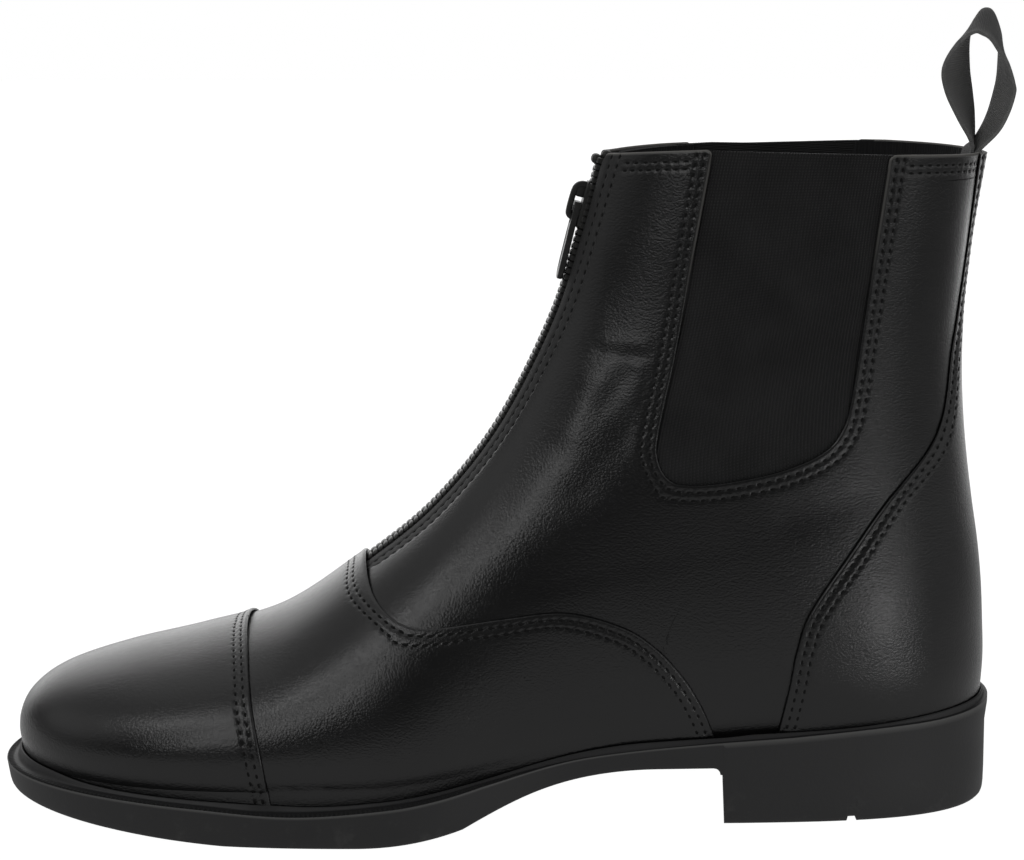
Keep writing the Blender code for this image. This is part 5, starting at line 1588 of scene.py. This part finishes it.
across = np.concatenate([HALF_ACROSS, 1.0 - HALF_ACROSS[-2::-1]])
half_count = len(half_u)


def tread(x, place):
    """Depth of the tread: cross grooves that stop short of the edge, on the forefoot and the heel."""
    level = math.cos(math.pi * TREAD_WIDTH / TREAD_PITCH)
    bar = smooth((np.cos(2.0 * math.pi * x / TREAD_PITCH) - level) / BAR_SLOPE)
    inside = smooth((np.minimum(place, 1.0 - place) - TREAD_STOP) / TREAD_FADE)
    on_tread = sum(((x > low) & (x < high)).astype(float) for low, high in TREAD_SPANS)
    return TREAD_DEPTH * bar * inside * on_tread


def strips(row):
    """Points between the two sides of the sole at one row of the section, station by station."""
    outer = side_points[:half_count, row]
    inner = side_points[np.mod(-np.arange(half_count), stations), row]
    return outer[:, None, :] + (inner - outer)[:, None, :] * across[None, 1:-1, None]


def strip_faces(row, start):
    """Quads that join a row of strips to the ring it lies in; the toe and the heel end in triangles."""
    ids = np.empty((half_count, len(across)), dtype=int)
    ids[:, 0] = np.arange(half_count) * section_rows + row
    ids[:, -1] = np.mod(-np.arange(half_count), stations) * section_rows + row
    ids[:, 1:-1] = start + np.arange(half_count * (len(across) - 2)).reshape(half_count, -1)
    ids[0] = ids[0, 0]
    ids[-1] = ids[-1, 0]
    quads = np.stack([ids[:-1, :-1], ids[:-1, 1:], ids[1:, 1:], ids[1:, :-1]], axis=-1)
    return [quads[1:-1].reshape(-1, 4), quads[0][:, [0, 2, 3]], quads[-1][:, [0, 1, 2]]]


# %% Join the sole
over = strips(0)
under = strips(section_rows - 1)
under[..., 2] += tread(under[..., 0], across[None, 1:-1])
ring_points = side_points.reshape(-1, 3)
under_faces = strip_faces(section_rows - 1, len(ring_points))
over_faces = strip_faces(0, len(ring_points) + under.size // 3)
faces = [band_faces(stations, section_rows)] + [group[:, ::-1] for group in over_faces] + under_faces
points = np.vstack([ring_points, under.reshape(-1, 3), over.reshape(-1, 3)])
used = np.unique(np.concatenate([group.ravel() for group in faces]))
renumber = np.full(len(points), -1)
renumber[used] = np.arange(len(used))
# painted highlight on the bead's crest and on the rows of the outer edge
painted_edge_highlight = np.zeros((stations, section_rows))
painted_edge_highlight[:, BEAD_TOP_ROW] = BEAD_HIGHLIGHT
painted_edge_highlight[:, EDGE_ROWS] = EDGE_HIGHLIGHT
painted_edge_highlight = np.concatenate([painted_edge_highlight.ravel(), np.zeros(len(points) - painted_edge_highlight.size)])
faces = [renumber[group] for group in faces]
item = add_piece("sole_rubber", points[used], faces, rubber, sharp_deg=60.0, masks={"pale_with_painted_light": painted_edge_highlight[used]})
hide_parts("outsole")

# %% [markdown]
# ## Insole
# A thin footbed lies on the sole inside the upper. It shows only from above, so it is a plain slab with a
# rounded rim, made of the same kind of ring.

# %% Insole
BED_INSET = 3.2 * MM
BED_THICK = 3.0 * MM
BED_STATIONS = 120
# rows of the rim: millimetres in from the inset, share of the thickness
BED_RIM = np.array([(0.4, 0.0), (0.1, 0.3), (0.0, 0.6), (0.3, 0.88), (1.2, 1.0)])

bed_half = np.linspace(0.0, 0.5, BED_STATIONS)
bed_u = np.concatenate([bed_half, 1.0 - bed_half[-2:0:-1]])
bed_edge, bed_outward = edge_and_outward(bed_u)
rim_in = BED_INSET + BED_RIM[:, 0] * MM
rim_xy = bed_edge[:, None, :2] - rim_in[None, :, None] * bed_outward[:, None, :]
rim_z = sole_top(bed_edge[:, 0])[:, None] + BED_THICK * BED_RIM[None, :, 1]
bed_points = np.concatenate([rim_xy, rim_z[..., None]], axis=-1)
rows = len(BED_RIM)
count = len(bed_u)
faces = [band_faces(count, rows)]
i = np.arange(1, BED_STATIONS - 2)
for row, turned in ((0, False), (rows - 1, True)):
    quads = np.stack([i, i + 1, count - i - 1, count - i], axis=-1) * rows + row
    tips = np.array([[0, 1, count - 1], [BED_STATIONS - 2, BED_STATIONS - 1, BED_STATIONS]]) * rows + row
    faces += [quads[:, ::-1], tips[:, ::-1]] if turned else [quads, tips]
item = add_piece("insole_bed", bed_points, faces, lining)
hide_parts("insole")

# %% [markdown]
# ## Stage, light and camera
# The boot stands on a plain pale floor, as in a catalogue. A black boot is seen by what it reflects, so the
# floor and the world are white to the camera and graded to the leather: dim all round, with soft bright
# patches that draw the sheen. Away from the camera the floor glows as a painted pool of light, brighter
# near the boot and brightest behind it. A wide soft box hangs overhead, three look in from the front, and
# a small card lights the heel. The camera stands where the outline agrees with the photograph.

# %% Floor
FLOOR_HALF = 4.0
FLOOR_NEAR, FLOOR_FAR, FLOOR_BEHIND = 0.38, 0.14, 1.0
# distances over which the glow fades from near to far, and grows behind the boot
FADE_START, FADE_STOP = 0.20, 0.80
BEHIND_START, BEHIND_STOP = 0.20, 0.90

floor_corners = [(sx * FLOOR_HALF, sy * FLOOR_HALF, 0.0) for sx, sy in ((-1, -1), (1, -1), (1, 1), (-1, 1))]
floor_mesh = bpy.data.meshes.new("floor")
floor_mesh.from_pydata(floor_corners, [], [(0, 1, 2, 3)])
floor = bpy.data.objects.new("floor", floor_mesh)
bpy.context.scene.collection.objects.link(floor)
pale, tree, shader, place = new_material("pale_floor", Roughness=0.9)
seen = new_node(tree, "ShaderNodeLightPath")
away = new_node(tree, "ShaderNodeVectorMath", operation="LENGTH")
tree.links.new(place.outputs["Object"], away.inputs[0])
far = between(tree, away.outputs["Value"], FLOOR_NEAR, FLOOR_FAR, FADE_START, FADE_STOP, "SMOOTHSTEP")
split = new_node(tree, "ShaderNodeSeparateXYZ")
tree.links.new(place.outputs["Object"], split.inputs["Vector"])
rear = between(tree, split.outputs["Y"], 0.0, FLOOR_BEHIND, BEHIND_START, BEHIND_STOP, "SMOOTHSTEP")
# painted light: away from the camera the floor glows in a painted pool, brighter near the boot and behind it
painted_floor_glow = math_node(tree, "ADD", far, rear)
shader.inputs["Base Color"].default_value = (0.12, 0.12, 0.12, 1.0)
glow = mix_colour(tree, seen.outputs["Is Camera Ray"], painted_floor_glow, (1.0, 1.0, 1.0))
tree.links.new(glow, shader.inputs["Emission Color"])
shader.inputs["Emission Strength"].default_value = 1.0
floor_mesh.materials.append(pale)

# %% World: soft bright patches, each with its azimuth, height, inner and outer radius in degrees, and level
WORLD_BASE = 0.10
PATCHES = [(-172.0, 14.0, 16.0, 43.0, 1.25), (-98.0, 56.0, 28.0, 50.0, 0.28), (-85.0, 22.0, 8.0, 34.0, 0.22),
           (66.0, 22.0, 16.0, 48.0, 0.46)]

world = bpy.data.worlds.new("studio")
bpy.context.scene.world = world
world.use_nodes = True
tree = world.node_tree
background = tree.nodes["Background"]
seen = new_node(tree, "ShaderNodeLightPath")
towards = new_node(tree, "ShaderNodeTexCoord")
level = WORLD_BASE
for turn_deg, up_deg, inner_deg, outer_deg, bright in PATCHES:
    turn = math.radians(turn_deg)
    up = math.radians(up_deg)
    aim = (math.sin(turn) * math.cos(up), -math.cos(turn) * math.cos(up), math.sin(up))
    facing = new_node(tree, "ShaderNodeVectorMath", operation="DOT_PRODUCT")
    facing.inputs[1].default_value = aim
    tree.links.new(towards.outputs["Generated"], facing.inputs[0])
    rim = math.cos(math.radians(outer_deg))
    core = math.cos(math.radians(inner_deg))
    patch = between(tree, facing.outputs["Value"], 0.0, bright, rim, core, "SMOOTHSTEP")
    level = math_node(tree, "ADD", patch, level)
lit = mix_colour(tree, seen.outputs["Is Camera Ray"], level, (1.0, 1.0, 1.0))
tree.links.new(lit, background.inputs["Color"])


# %% Lights
def add_light(name, place, target, size, power):
    """Rectangular soft box that looks at a point."""
    data = bpy.data.lights.new(name, "AREA")
    data.shape = "RECTANGLE"
    data.size, data.size_y = size
    data.energy = power
    lamp = bpy.data.objects.new(name, data)
    bpy.context.scene.collection.objects.link(lamp)
    lamp.location = place
    away = np.array(place) - np.array(target)
    flat = math.hypot(away[0], away[1])
    lamp.rotation_euler = (math.atan2(flat, away[2]), 0.0, math.atan2(away[0], -away[1]))


add_light("overhead_box", (-0.05, 0.40, 1.30), (-0.02, 0.0, 0.05), (1.6, 1.0), 1.5)
add_light("left_box", (-0.80, -0.66, 1.18), (-0.02, 0.0, 0.08), (0.50, 0.20), 1.4)
add_light("front_box", (-0.66, -1.08, 0.72), (-0.02, 0.0, 0.08), (0.26, 0.66), 1.7)
add_light("right_box", (0.98, -1.02, 0.14), (0.05, 0.0, 0.08), (0.25, 0.24), 0.4)
add_light("heel_card", (0.222, -0.192, 0.026), (0.100, -0.036, 0.055), (0.04, 0.03), 0.024)

# %% Camera
LENS, SENSOR = 86.9, 36.0
CAMERA_PLACE = np.array([-24.4, -699.6, 243.5]) * MM
CAMERA_DOWN_DEG, CAMERA_TURN_DEG = 11.0, -2.0

camera_data = bpy.data.cameras.new("camera")
camera_data.lens = LENS
camera_data.sensor_width = SENSOR
camera = bpy.data.objects.new("camera", camera_data)
bpy.context.scene.collection.objects.link(camera)
camera.location = CAMERA_PLACE + SHIFT
camera.rotation_euler = (math.radians(90.0 - CAMERA_DOWN_DEG), 0.0, math.radians(CAMERA_TURN_DEG))
bpy.context.scene.camera = camera
bpy.context.scene.view_settings.view_transform = "Standard"

# %% Sizes, and the end
print("pieces", len(made), "triangles", sum(count for _, count in made))
